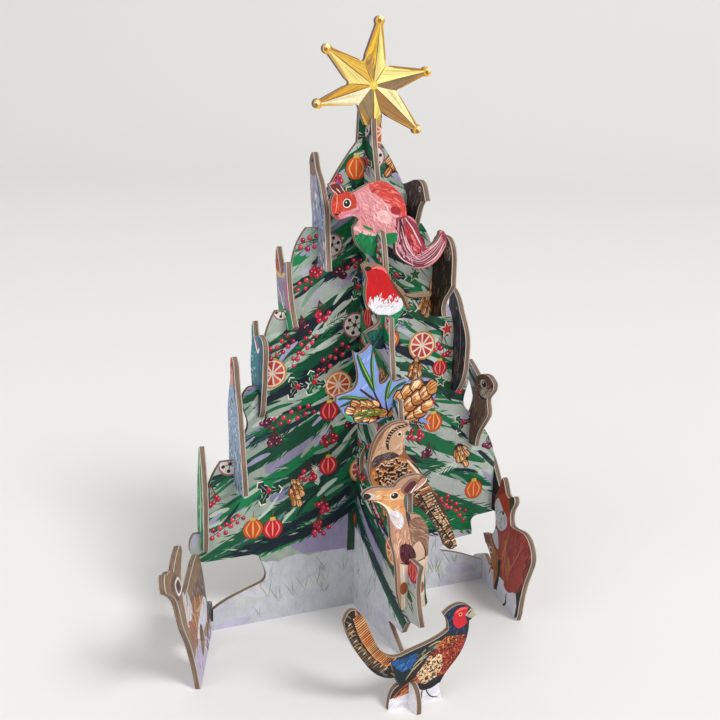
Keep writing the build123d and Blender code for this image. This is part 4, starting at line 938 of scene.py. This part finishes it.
def rabbit_print(s):
    s.fill(oval(6, 10, 50), "75594a")
    s.hairs(oval(6, 10, 15, 22), 1.4, 3.2, 0.5, "a08a76 5c483c b8a48e 6e4a3a 8f5f48 3a2c28", 190)
    s.fill([(-8, 34), (5.2, 26.6), (5, 20.6), (1.6, 17.8), (-8, 22)], "5b646c")
    s.stroke([(4, 24), (-0.2, 27.2), (-3.8, 29.6)], 2.6, "98a4ac", 0.5, 0.4)
    s.stroke([(2, 19.8), (-2, 22.8), (-5, 25)], 3.2, "a9b3bb", 0.5, 0.4)
    s.hairs([(-6, 30), (4.6, 25), (2, 18.4), (-6, 23)], 2.45, 2.4, 0.35, "c8d2d8 7c848a dfe3e5", 30, 0.15)
    s.stroke([(4.6, 21.8), (0, 24.8), (-4.8, 27.6)], 1, "231e22", 0.5, 0.3)
    s.stroke([(5.4, 26), (0.6, 28.6), (-3.8, 30.4)], 0.7, "3a3230")
    s.hairs([(4.6, 25.6), (12, 27.8), (17, 25.8), (13, 24.4), (6, 21), (3.6, 17.4)], 0.2, 1.8, 0.45,
            "43342e 6a5040 8c7664", 44)
    cheek = closed([(7.6, 19.4), (11.6, 21.6), (17.4, 22.4), (16, 19), (12.6, 16.8)])
    s.coat(cheek, "9c9084", 0.9, 1.9, 0.4, "c8bcab 857868 ddd2c2", 46)
    s.hairs(oval(14, 23.4, 2.4, 1.5), 0.4, 1.5, 0.45, "a8604a 7a4636", 14)
    s.dot(10.2, 23, 2.7, "d8ccba", 1.9)
    s.dot(10.7, 23.1, 1.8, "15100f", 1.4)
    s.dot(10, 23.6, 0.55, "e8e8ea")
    s.dot(17.2, 24, 0.8, "2e2220")
    s.stroke([(13.4, 17.2), (9, 17), (6, 18.6)], 1, "33261f", 0.4, 0.2)
    s.hairs([(1, 18.4), (3.6, 16.4), (2.4, 8), (-1, 6)], 1.4, 2.6, 0.6, "2c4a3c 1e3430 23302c", 18)
    s.stroke([(13, 15.4), (13.2, 10), (8.4, 2)], 1.6, "a08a78", 0.4, 0.3)
    s.hairs([(-4, -7), (7, -6), (6, -2), (-4, -2)], 1.4, 2.6, 0.6, "3c5a3a 2a4030 6a7a5a", 16)


def black_bird_print(s):
    s.fill(oval(0, 5, 50), "17161b")
    s.hairs(oval(0, 4, 14, 14), 2.2, 3.4, 0.6, "2a2833 0e0d10 3a3844 231e22", 90)
    s.stroke([(-8, 12), (-2, 13), (6, 6)], 0.7, "5a4638")
    s.dot(-5.6, 12.6, 0.8, "d8a648")
    s.dot(-5.6, 12.6, 0.4, "0c0b0d")
    s.stroke([(-8, 2), (2, -2), (10, -5)], 0.5, "4c4a58")


def back_leaf_print(s):
    s.fill(oval(0, 4, 50), "137245")
    s.hairs(oval(0, 4, 10, 13), 1.57, 4, 0.6, "0c5534 2f9a62 1d8452", 60)
    s.stroke([(0, -8), (0, 4), (0, 16)], 0.6, "dce9d6")
    for k in range(4):
        for side in (-1, 1):
            s.stroke([(0, -3 + 4 * k), (side * 5, 4 * k)], 0.35, "cfe2cc")
    for x, y in ((-2.2, -5), (2, -4.6), (0, -6.8)):
        berry(s, x, y, 1.4)


def back_bird_print(s):
    s.fill(oval(0, 4, 50), "3f6ea0")
    s.hairs(oval(0, 4, 15, 12), 0.6, 3, 0.6, "2c548a 6a98c4 8fb4d4 244674", 90)
    s.blob([(-9, 4), (-3, 6), (2, 1), (1, -7), (-4, -7), (-9, -1)], "e0a060")
    s.hairs([(-8, 3), (1, 0), (0, -7), (-5, -7)], 0.9, 2.2, 0.45, "f0c48c c98444", 24)
    s.stroke([(-3, 7), (5, 4), (14, 3)], 1.6, "22406a")
    s.dot(-9.4, 11.6, 1, "f0f0f0")
    s.dot(-9.4, 11.6, 0.6, "121216")


def back_cone_print(s):
    s.fill(oval(0, 4, 50), "a06a3e")
    cone(s, [(0, 20), (-6, 14), (-9, 6), (-7.4, -2), (-3.4, -9), (3.4, -9), (7.4, -2), (9, 6), (6, 14)],
         [(0, -8), (0, 19)], 6)


def back_bauble_print(s):
    s.fill(oval(0, 6, 50), "b8202c")
    s.hairs(oval(0, 6, 13, 16), 1.57, 3.6, 0.7, "a01822 cc3a40 d8545a", 70)
    for y in (-2, 7, 16):
        s.stroke([(-14, y), (0, y - 2.4), (14, y)], 1.5, "e2b24a", 0.7, 0.7)
        s.stroke([(-14, y - 1.6), (0, y - 4), (14, y - 1.6)], 0.4, "f3e2b0", 0.7, 0.7)
    for x in (-8, -4, 0, 4, 8):
        s.dot(x, 11.5 - 0.02 * x * x, 1, "f0e2c8")
        s.dot(x, 2.5 - 0.02 * x * x, 1, "1a6a44")
    s.fill([(-3, 22.2), (3, 22.2), (3, 27), (-3, 27)], "caa24a")


def back_bell_print(s):
    s.fill(oval(0, 10, 60), "d2a03a")
    s.hairs([(-16, -2), (16, -2), (8, 26), (-8, 26)], 1.57, 4, 0.7, "b8842c e6c060 f2d88a", 80)
    s.stroke([(-15, 3.2), (0, 1.4), (15, 3.2)], 1.6, "9c2430", 0.8, 0.8)
    s.stroke([(-11.6, 12), (0, 10.6), (11.6, 12)], 1, "1a6a44", 0.8, 0.8)
    s.blob([(0, 27), (-6, 31), (-6, 24)], "b8202c")
    s.blob([(0, 27), (6, 31), (6, 24)], "b8202c")
    s.dot(0, 27, 1.4, "d8434a")
    s.fill([(-5, -3), (5, -3), (4, -11), (-4, -11)], "8c6426")


def pheasant_foot_print(s):
    s.fill(oval(0, 4, 20), "eceaf0")
    s.hairs([(-7, 0), (7, 0), (5, 9), (-5, 9)], 0.4, 3, 0.5, "f8f7fa d8d5de", 10, amount=0.03)


# Panels
TURN = 6.283


def berry(s, x, y, r, colour="c01f3c"):
    s.dot(x, y, r * 1.12, "5e1020")
    s.dot(x + 0.05 * r, y + 0.08 * r, r, colour, amount=0.2)
    s.dot(x + 0.3 * r, y + 0.34 * r, r * 0.3, "f0a8b0")


def berries(s, x, y, r, colours):
    tip = (x + s.rng.uniform(-0.4, 0.4) * r, y + r * 1.5)
    for _ in range(s.rng.randint(6, 10)):
        a, d = s.rng.uniform(0, TURN), r * math.sqrt(s.rng.random()) * 0.85
        bx, by = x + d * math.cos(a), y + d * math.sin(a) * 0.7
        s.stroke([tip, ((tip[0] + bx) / 2 + s.rng.uniform(-0.4, 0.4), (tip[1] + by) / 2), (bx, by)], 0.28,
                 "4a2a22", 0.6, 0.6)
        berry(s, bx, by, s.rng.uniform(0.85, 1.2), s.rng.choice(colours.split()))


def red_berries(s, x, y, r):
    berries(s, x, y, r, "c41f3e d12c4a b01834")


def dark_berries(s, x, y, r):
    berries(s, x, y, r * 0.8, "4a1836 2a1a2c 6a2244")


def berry_spray(s, x, y, r):
    a = 0.55 * (-1 if x > 0 else 1) + s.rng.uniform(-0.35, 0.35)
    dx, dy = math.cos(a) * r * 1.5, math.sin(a) * r * 1.5
    s.stroke([(x - dx, y - dy), (x, y + 0.6), (x + dx, y + dy)], 0.35, "5c3226", 0.6, 0.4)
    for k in range(11):
        t = -1 + 0.2 * k
        off = s.rng.uniform(0.5, 2.2) * (1 if k % 2 else -1)
        bx, by = x + dx * t - dy / r * off * 0.5, y + dy * t + off
        s.stroke([(x + dx * t, y + dy * t), (bx, by)], 0.25, "5c3226", 0.6, 0.6)
        berry(s, bx, by, s.rng.uniform(0.7, 1), s.rng.choice(["c81f3a", "a8183a", "d63a50"]))


def orange_slice(s, x, y, r):
    rind, flesh = s.rng.choice([("d9832a", "d8602a e08030 c94f24"), ("c98a3c", "c9443c d65a48 b8382e")])
    s.dot(x, y, r, rind)
    s.dot(x, y, r * 0.88, "efd9c8")
    turn = s.rng.uniform(0, 1)
    for k in range(9):
        a, b = turn + (k + 0.12) * TURN / 9, turn + (k + 0.88) * TURN / 9
        s.fill([polar(x, y, 0.14 * r, (a + b) / 2), *[polar(x, y, 0.78 * r, a + (b - a) * t)
                for t in (0, 0.33, 0.67, 1)]], flesh, 0.12)


def bauble(s, x, y, r):
    colour, light = s.rng.choice([("c01a26", "e88a80"), ("d2581c", "f2ac70"), ("c4222a", "ee8a80"),
                                  ("b3182a", "e07a74"), ("2b5a86", "8fb8d4")])
    s.stroke([(x, y + r * 0.8), (x + 0.2, y + r * 1.9)], 0.3, "7a5a2a", 0.8, 0.8)
    s.dot(x, y, r * 1.05, "5a1216")
    s.dot(x, y, r, colour)
    for k in (-0.45, 0, 0.45):
        s.stroke([(x + k * r * 0.6, y + r * 0.8), (x + k * r * 1.5, y), (x + k * r * 0.6, y - r * 0.8)],
                 r * 0.16, light)
    s.fill([(x - r * 0.3, y + r * 0.85), (x + r * 0.3, y + r * 0.85), (x + r * 0.25, y + r * 1.2),
            (x - r * 0.25, y + r * 1.2)], "d9b04a")


def gold_star(s, x, y, r):
    turn = s.rng.uniform(-0.2, 0.2) + math.pi / 2
    ring = [polar(x, y, r * 0.45 if k % 2 else r, turn + k * math.pi / 5) for k in range(10)]
    s.fill(ring, "e6d8b8")
    s.fill([(x + (a - x) * 0.78, y + (b - y) * 0.78) for a, b in ring],
           s.rng.choice(["c99232", "14603c", "b8343a"]))


def holly(s, x, y, r):
    for k in range(3):
        a = s.rng.uniform(-0.3, 0.3) + k * 2.1
        for grow, colour in ((1.12, "e3e4d4"), (1, s.rng.choice(["0f3f2e", "12603a", "15242c"]))):
            ring = []
            for side in (1, -1):
                for j in range(5) if side > 0 else range(4, -1, -1):
                    t = 0.1 + 0.225 * j
                    w = (0.36 if j % 2 else 0.2) * r * side * grow if j < 4 else 0.02 * side
                    ring.append((x + r * 1.25 * t * grow * math.cos(a) - w * math.sin(a),
                                 y + r * 1.25 * t * grow * math.sin(a) + w * math.cos(a)))
            s.fill(ring, colour)
        s.stroke([(x, y), polar(x, y, r * 1.1, a)], 0.22, "9cb89c")
    for dx, dy in ((0, 0), (0.9, 0.5), (0.2, 1)):
        berry(s, x + dx, y + dy, 0.75)


def fir_twig(s, x, y, r):
    a = s.rng.uniform(0, TURN)
    dx, dy = math.cos(a) * r, math.sin(a) * r
    tones = s.rng.choice(["0b3f2c 0f5236", "14603c 1f7a4c", "12242c 1a3038", "c2cfbe d6dfd2"])
    s.stroke([(x - dx, y - dy), (x, y + 0.5), (x + dx, y + dy)], 0.35, tones, 0.6, 0.3)
    for k in range(10):
        t = -0.95 + 0.18 * k
        for side in (-1, 1):
            s.needle(x + dx * t, y + dy * t, a + side * s.rng.uniform(0.45, 0.75),
                     r * s.rng.uniform(0.4, 0.6), 0.6, tones)


def small_cone(s, x, y, r):
    a = s.rng.uniform(-0.6, 0.6) - math.pi / 2
    outline = [(x + r * (1.25 * math.cos(t) * math.cos(a) - 0.72 * math.sin(t) * math.sin(a)),
                y + r * (1.25 * math.cos(t) * math.sin(a) + 0.72 * math.sin(t) * math.cos(a)))
               for t in np.linspace(0, TURN, 15)[:-1]]
    cone(s, outline, [polar(x, y, -r * 1.2, a), polar(x, y, r * 1.2, a)], 4, 1.4)


def snow_crystal(s, x, y, r):
    s.dot(x, y, r, "a06068")
    s.dot(x, y, r * 0.86, "dcd2cc")
    for k in range(6):
        a = k * math.pi / 3 + 0.3
        s.stroke([(x, y), polar(x, y, r * 0.72, a)], 0.3, "23282c", 0.8, 0.6)
        s.dot(*polar(x, y, r * 0.6, a), r * 0.15, "23282c")
    s.dot(x, y, r * 0.16, "23282c")


# Each ornament's size and number.
ORNAMENTS = [(orange_slice, 5.8, 6), (snow_crystal, 5, 7), (bauble, 4.1, 17), (small_cone, 4.6, 7),
             (holly, 4.4, 13), (red_berries, 4.8, 13), (gold_star, 3.6, 4), (dark_berries, 4.2, 8),
             (berry_spray, 5.6, 13)]
GREENS = "0a6b40 0c7a48 0a5a38 0b4a33"
DARKS = "0d2430 102f30 0b1c2a 0c3a30"
TRIES = 900  # places tried for each kind of ornament


def bough(s, side, z, reach, drop, width, tones, needles):
    """Fir bough that falls steeply by the trunk and levels out at its tip, with needles along both edges."""
    path = [(side * reach * t, z - drop * t ** 0.62) for t in (0.02, 0.14, 0.32, 0.56, 0.8, 1)]
    s.stroke(path, width, tones, 0.45, 0.1, 0.1)
    line = catmull(path)
    for _ in range(needles):
        k = s.rng.randrange(len(line) - 1)
        (ax, ay), (bx, by) = line[k], line[k + 1]
        a = math.atan2(by - ay, bx - ax)
        off = s.rng.choice((-1, 1)) * width * s.rng.uniform(0.05, 0.5)
        s.needle(ax - math.sin(a) * off, ay + math.cos(a) * off, a + math.copysign(s.rng.uniform(0.08, 0.5),
                off), s.rng.uniform(3, 6.5), s.rng.uniform(0.4, 0.9),
                 tones + " " + s.rng.choice([tones, tones, GREENS, "8fa596 a9b6a6"]))


def tree_print(s, half, snow, trunk, density, tall):
    """Fir boughs that fall out from the trunk over a pale ground, with ornaments in a layout of our own."""
    s.fill([(7, -4), (80, -4), (80, 210), (4, 210)], "b3bab2", 0)
    # Lilac blobs on the ground, paler where x > 4 and darker grey-lilac elsewhere: partly the print's own
    # lilac, partly painted light on the right and painted shade on the left
    for _ in range(int(34 * density)):
        z = s.rng.uniform(36, tall)
        x = s.rng.uniform(-1, 1) * half(z)
        r = s.rng.uniform(4, 9)
        s.fill(oval(x, z, r * 1.5, r * 0.6, -0.5 * math.copysign(1, x)), "a9a2c4 b9b1cd c4bcd4 a7a9bd"
               if x > 4 else "8481a4 9590ac", 0.06)
    edge = [(x, snow(x) + 0.8 * math.sin(x * 0.4) + 0.4 * math.sin(x * 1.3))
            for x in np.linspace(-80, 80, 61)]
    s.fill([(-80, -4), (80, -4), *edge[::-1]], "c9cbd3", 0)
    for _ in range(int(26 * density)):
        x = s.rng.uniform(-75, 75)
        z = s.rng.uniform(0, 1) * snow(x)
        s.fill(oval(x, z, s.rng.uniform(4, 9), s.rng.uniform(1.5, 3.5), s.rng.uniform(-0.3, 0.3)),
               "d3d4da bfc4c8 c2bfd2 ccd1cf", 0.02)
    for _ in range(int(36 * density)):
        x = s.rng.uniform(-75, 75)
        z = s.rng.uniform(0, 0.8) * snow(x)
        for _ in range(s.rng.randint(2, 6)):
            s.needle(x + s.rng.uniform(-1.6, 1.6), z, 1.57 + s.rng.uniform(-0.6, 0.6), s.rng.uniform(4, 11),
                     s.rng.uniform(0.25, 0.6), "95a59b a7b0aa 87998f b2b6b8", 0.05)
    for side in (-1, 1):
        s.fill([(0, snow(0) - 1), (side * 24, snow(24) + 0.5), (side * 30, snow(30) + 5), (0, snow(0) + 26)],
               "8f88ab 9a93b4", 0.04)
    s.fill([(-trunk, snow(0) - 2), (trunk, snow(0) - 2), (trunk * 0.5, tall), (-trunk * 0.5, tall)], "24402f")
    for _ in range(80):
        z = s.rng.uniform(snow(0), tall)
        s.needle(s.rng.uniform(-1, 1) * trunk * 0.9, z, -1.57 + s.rng.uniform(-0.12, 0.12),
                 s.rng.uniform(5, 12), s.rng.uniform(0.5, 1.1), "16281f 37543c 52664c 101c18 6a6650")
    for side in (-1, 1):
        z = tall
        while z > snow(0) + 12:
            reach = half(z - 0.5 * half(z)) * s.rng.uniform(0.86, 1.08) + 3
            drop = min(reach * s.rng.uniform(0.6, 0.74), z - snow(reach) + 1)
            bough(s, side, z, reach, drop, s.rng.uniform(5, 7), GREENS, int(reach * 1.3))
            if s.rng.random() < 0.75:
                short = reach * s.rng.uniform(0.45, 0.9)
                bough(s, side, z - s.rng.uniform(2, 5), short,
                      min(drop * (short / reach) ** 0.7, z - snow(short) - 5), s.rng.uniform(3, 5.5), DARKS,
                      int(short * 0.9))
            z -= s.rng.uniform(9, 13)
    heights = [float(z) for z in np.arange(42, tall, 9)]
    crown = [(half(z), z) for z in heights] + [(-half(z), z) for z in heights[::-1]]
    s.hairs(crown, lambda x, y: math.copysign(0.52, -x), 13, 1.7,
            "0a6b40 0b4a33 0d2430 9fb0a3 bccabd 7f9c8b a9a2c4 c4cfc4", int(230 * density), 0.35, 0.08)
    for _ in range(int(30 * density)):
        z = s.rng.uniform(40, tall - 6)
        fir_twig(s, s.rng.uniform(-1, 1) * half(z), z, s.rng.uniform(3.4, 6))
    taken = []
    for paint, size, count in ORNAMENTS:
        made = 0
        for _ in range(TRIES):
            if made >= count * density:
                break
            z = s.rng.uniform(36, tall - 4)
            x = s.rng.uniform(-1, 1) * (half(z) - size * 0.3)
            r = size * s.rng.uniform(0.8, 1.08)
            if z - r * 1.2 < snow(x) or any(math.hypot(x - a, z - b) < (r + c) * 0.9 for a, b, c in taken):
                continue
            taken.append((x, z, r))
            paint(s, x, z, r)
            made += 1


# The prints on their pieces
PANEL_GROUND = ("8b9a90", "9dab9f", "aab5a8", "a3a0b6")
CARD_GROUND = ("cfcac2", "d8d4cc")
BOTH = (1, -1)


def print_panel(node, u, normal, seed, snow, trunk, density, tall):
    """Boughs on both faces of a panel, each face with a layout of its own."""
    loop = face_loops(node, normal, Vector(), u, Z)[0]
    half = lambda z: max([abs(x) for x, y in loop if abs(y - z) < 9] or [8])
    sheets = [((side,), Sheet(seed + k, tree_print, half, snow, trunk, density, tall))
              for k, side in enumerate(BOTH)]
    print_faces(node, Vector(), u, Z, normal, sheets, PANEL_GROUND)


def print_card(node, paint, slot, at, u, v, normal, seed):
    """The same print on both faces of a card, around a spot given in millimetres."""
    print_faces(node, Vector(at) * MM, u, v, normal, [(BOTH, Sheet(seed, paint))], CARD_GROUND)


print_panel("tree_panel_wide", X, -Y, 11, lambda x: 27 - 0.02 * abs(x), 4.6, 1.0, 200)
print_panel("tree_panel_deep", -Y, -X, 21, lambda x: 37 - 0.45 * abs(x), 3.0, 0.8, 204)

# From the top ledge down: its height, the distance of its slots from the middle of the tree on the deep
# and on the wide panel, and its front, left, right and back card with print and material.
LEDGES = (
    (160.0, 13.1, 18.5,
     ("squirrel", squirrel_print, "squirrel_board"), ("left_bird", left_bird_print, "blue_bird_board"),
     ("right_bird", right_bird_print, "dark_bird_board"), ("back_leaf", back_leaf_print, "leaf_board")),
    (129.0, 21.4, 31.0,
     ("robin", robin_print, "robin_board"), ("left_small_bird", left_small_bird_print, "small_bird_board"),
     ("brown_owl", brown_owl_print, "owl_board"), ("back_bird", back_bird_print, "back_board")),
    (100.0, 30.8, 42.2,
     ("cone_sprig", cone_sprig_print, "sprig_board"), ("kingfisher", kingfisher_print, "kingfisher_board"),
     ("ruffled_bird", ruffled_bird_print, "dark_bird_board"), ("back_cone", back_cone_print, "back_board")),
    (71.0, 40.0, 52.2,
     ("partridge", partridge_print, "partridge_board"), ("woodpecker", woodpecker_print, "blue_bird_board"),
     ("rabbit", rabbit_print, "rabbit_board"), ("back_bauble", back_bauble_print, "back_board")),
    (42.7, 48.9, 65.5,
     ("deer", deer_print, "deer_board"), ("slim_leaf", slim_leaf_print, "leaf_board"),
     ("black_bird", black_bird_print, "dark_bird_board"), ("back_bell", back_bell_print, "back_board")),
)
for k, (ledge, deep, wide, *row) in enumerate(LEDGES):
    spots = (((0, -deep, ledge), X, -Y), ((-wide, 0, ledge), -Y, -X),
             ((wide, 0, ledge), -Y, -X), ((0, deep, ledge), -X, Y))
    for card, (at, u, normal) in zip(row, spots):
        print_card(*card, at, u, Z, normal, 31 + k)

PHEASANT_AT = (-12.4, -76.2, 0)
print_card("star", star_print, "star_board", (0, -3.4, 198.8), X, Z, -Y, 41)
print_card("pheasant", pheasant_print, "pheasant_board", PHEASANT_AT, X, Z, -Y, 42)
print_card("pheasant_foot", pheasant_foot_print, "white_board", PHEASANT_AT, -Y, Z, -X, 43)


def print_standing(node, paint, slot, turned, leaning, foot, seed):
    """Card that stands on the table in a loose slot of the wide panel, turned and leaning."""
    turn, lean = math.radians(turned), math.radians(leaning)
    forward = Vector((-math.sin(turn), -math.cos(turn), 0))
    normal = Vector((-math.cos(turn) * math.cos(lean), math.sin(turn) * math.cos(lean), -math.sin(lean)))
    print_card(node, paint, slot, (foot, 0, 1.1 * math.sin(lean)), forward, normal.cross(forward), normal, seed)


print_standing("stag", stag_print, "stag_board", 22.5, 7.0, -63.4, 44)
print_standing("fox_and_cub", fox_print, "fox_board", 9.0, 0.0, 62.7, 45)


# Floor and light
def add_backdrop():
    """Pale floor that runs up into a seamless backdrop behind the main view."""
    near, bend, rise, top, side_reach = -3.0, 1.6, 1.2, 4.0, 4.0
    away = Vector((-back.x, -back.y, 0)).normalized()
    side = Vector((away.y, -away.x, 0))
    curve = [(near, 0.0), (bend, 0.0)]
    curve += [(bend + rise * math.sin(t), rise - rise * math.cos(t))
              for t in np.linspace(0, math.pi / 2, 25)[1:]]
    curve += [(bend + rise, top)]
    count = len(curve)
    vertices = [away * d + side * s + Vector((0, 0, h)) for s in (-side_reach, side_reach) for d, h in curve]
    mesh = bpy.data.meshes.new("floor")
    mesh.from_pydata(vertices, [], [(i, i + 1, count + i + 1, count + i) for i in range(count - 1)])
    for polygon in mesh.polygons:
        polygon.use_smooth = True
    material, _, shader = new_material("floor")
    shader.inputs["Base Color"].default_value = (*linear("f3f2f0"), 1)
    shader.inputs["Roughness"].default_value = 0.6
    mesh.materials.append(material)
    floor = add_object("floor", mesh)


def add_light(name, at, size, power):
    """Soft round light that points at the middle of the tree."""
    data = bpy.data.lights.new(name, "AREA")
    data.shape = "DISK"
    data.size = size
    data.energy = power
    direction = Vector((0, 0, 0.1)) - Vector(at)
    add_object(name, data).matrix_world = (
        Matrix.Translation(Vector(at)) @ direction.to_track_quat("-Z", "Y").to_matrix().to_4x4())


add_backdrop()
world = bpy.data.worlds.new("world")
scene.world = world
world.use_nodes = True
world.node_tree.nodes["Background"].inputs["Color"].default_value = (1, 1, 1, 1)
world.node_tree.nodes["Background"].inputs["Strength"].default_value = 0.45
add_light("key", (0.95, -2.9, 3.4), 1.6, 118.0)
add_light("fill", (-2.6, -1.1, 1.9), 2.4, 26.0)
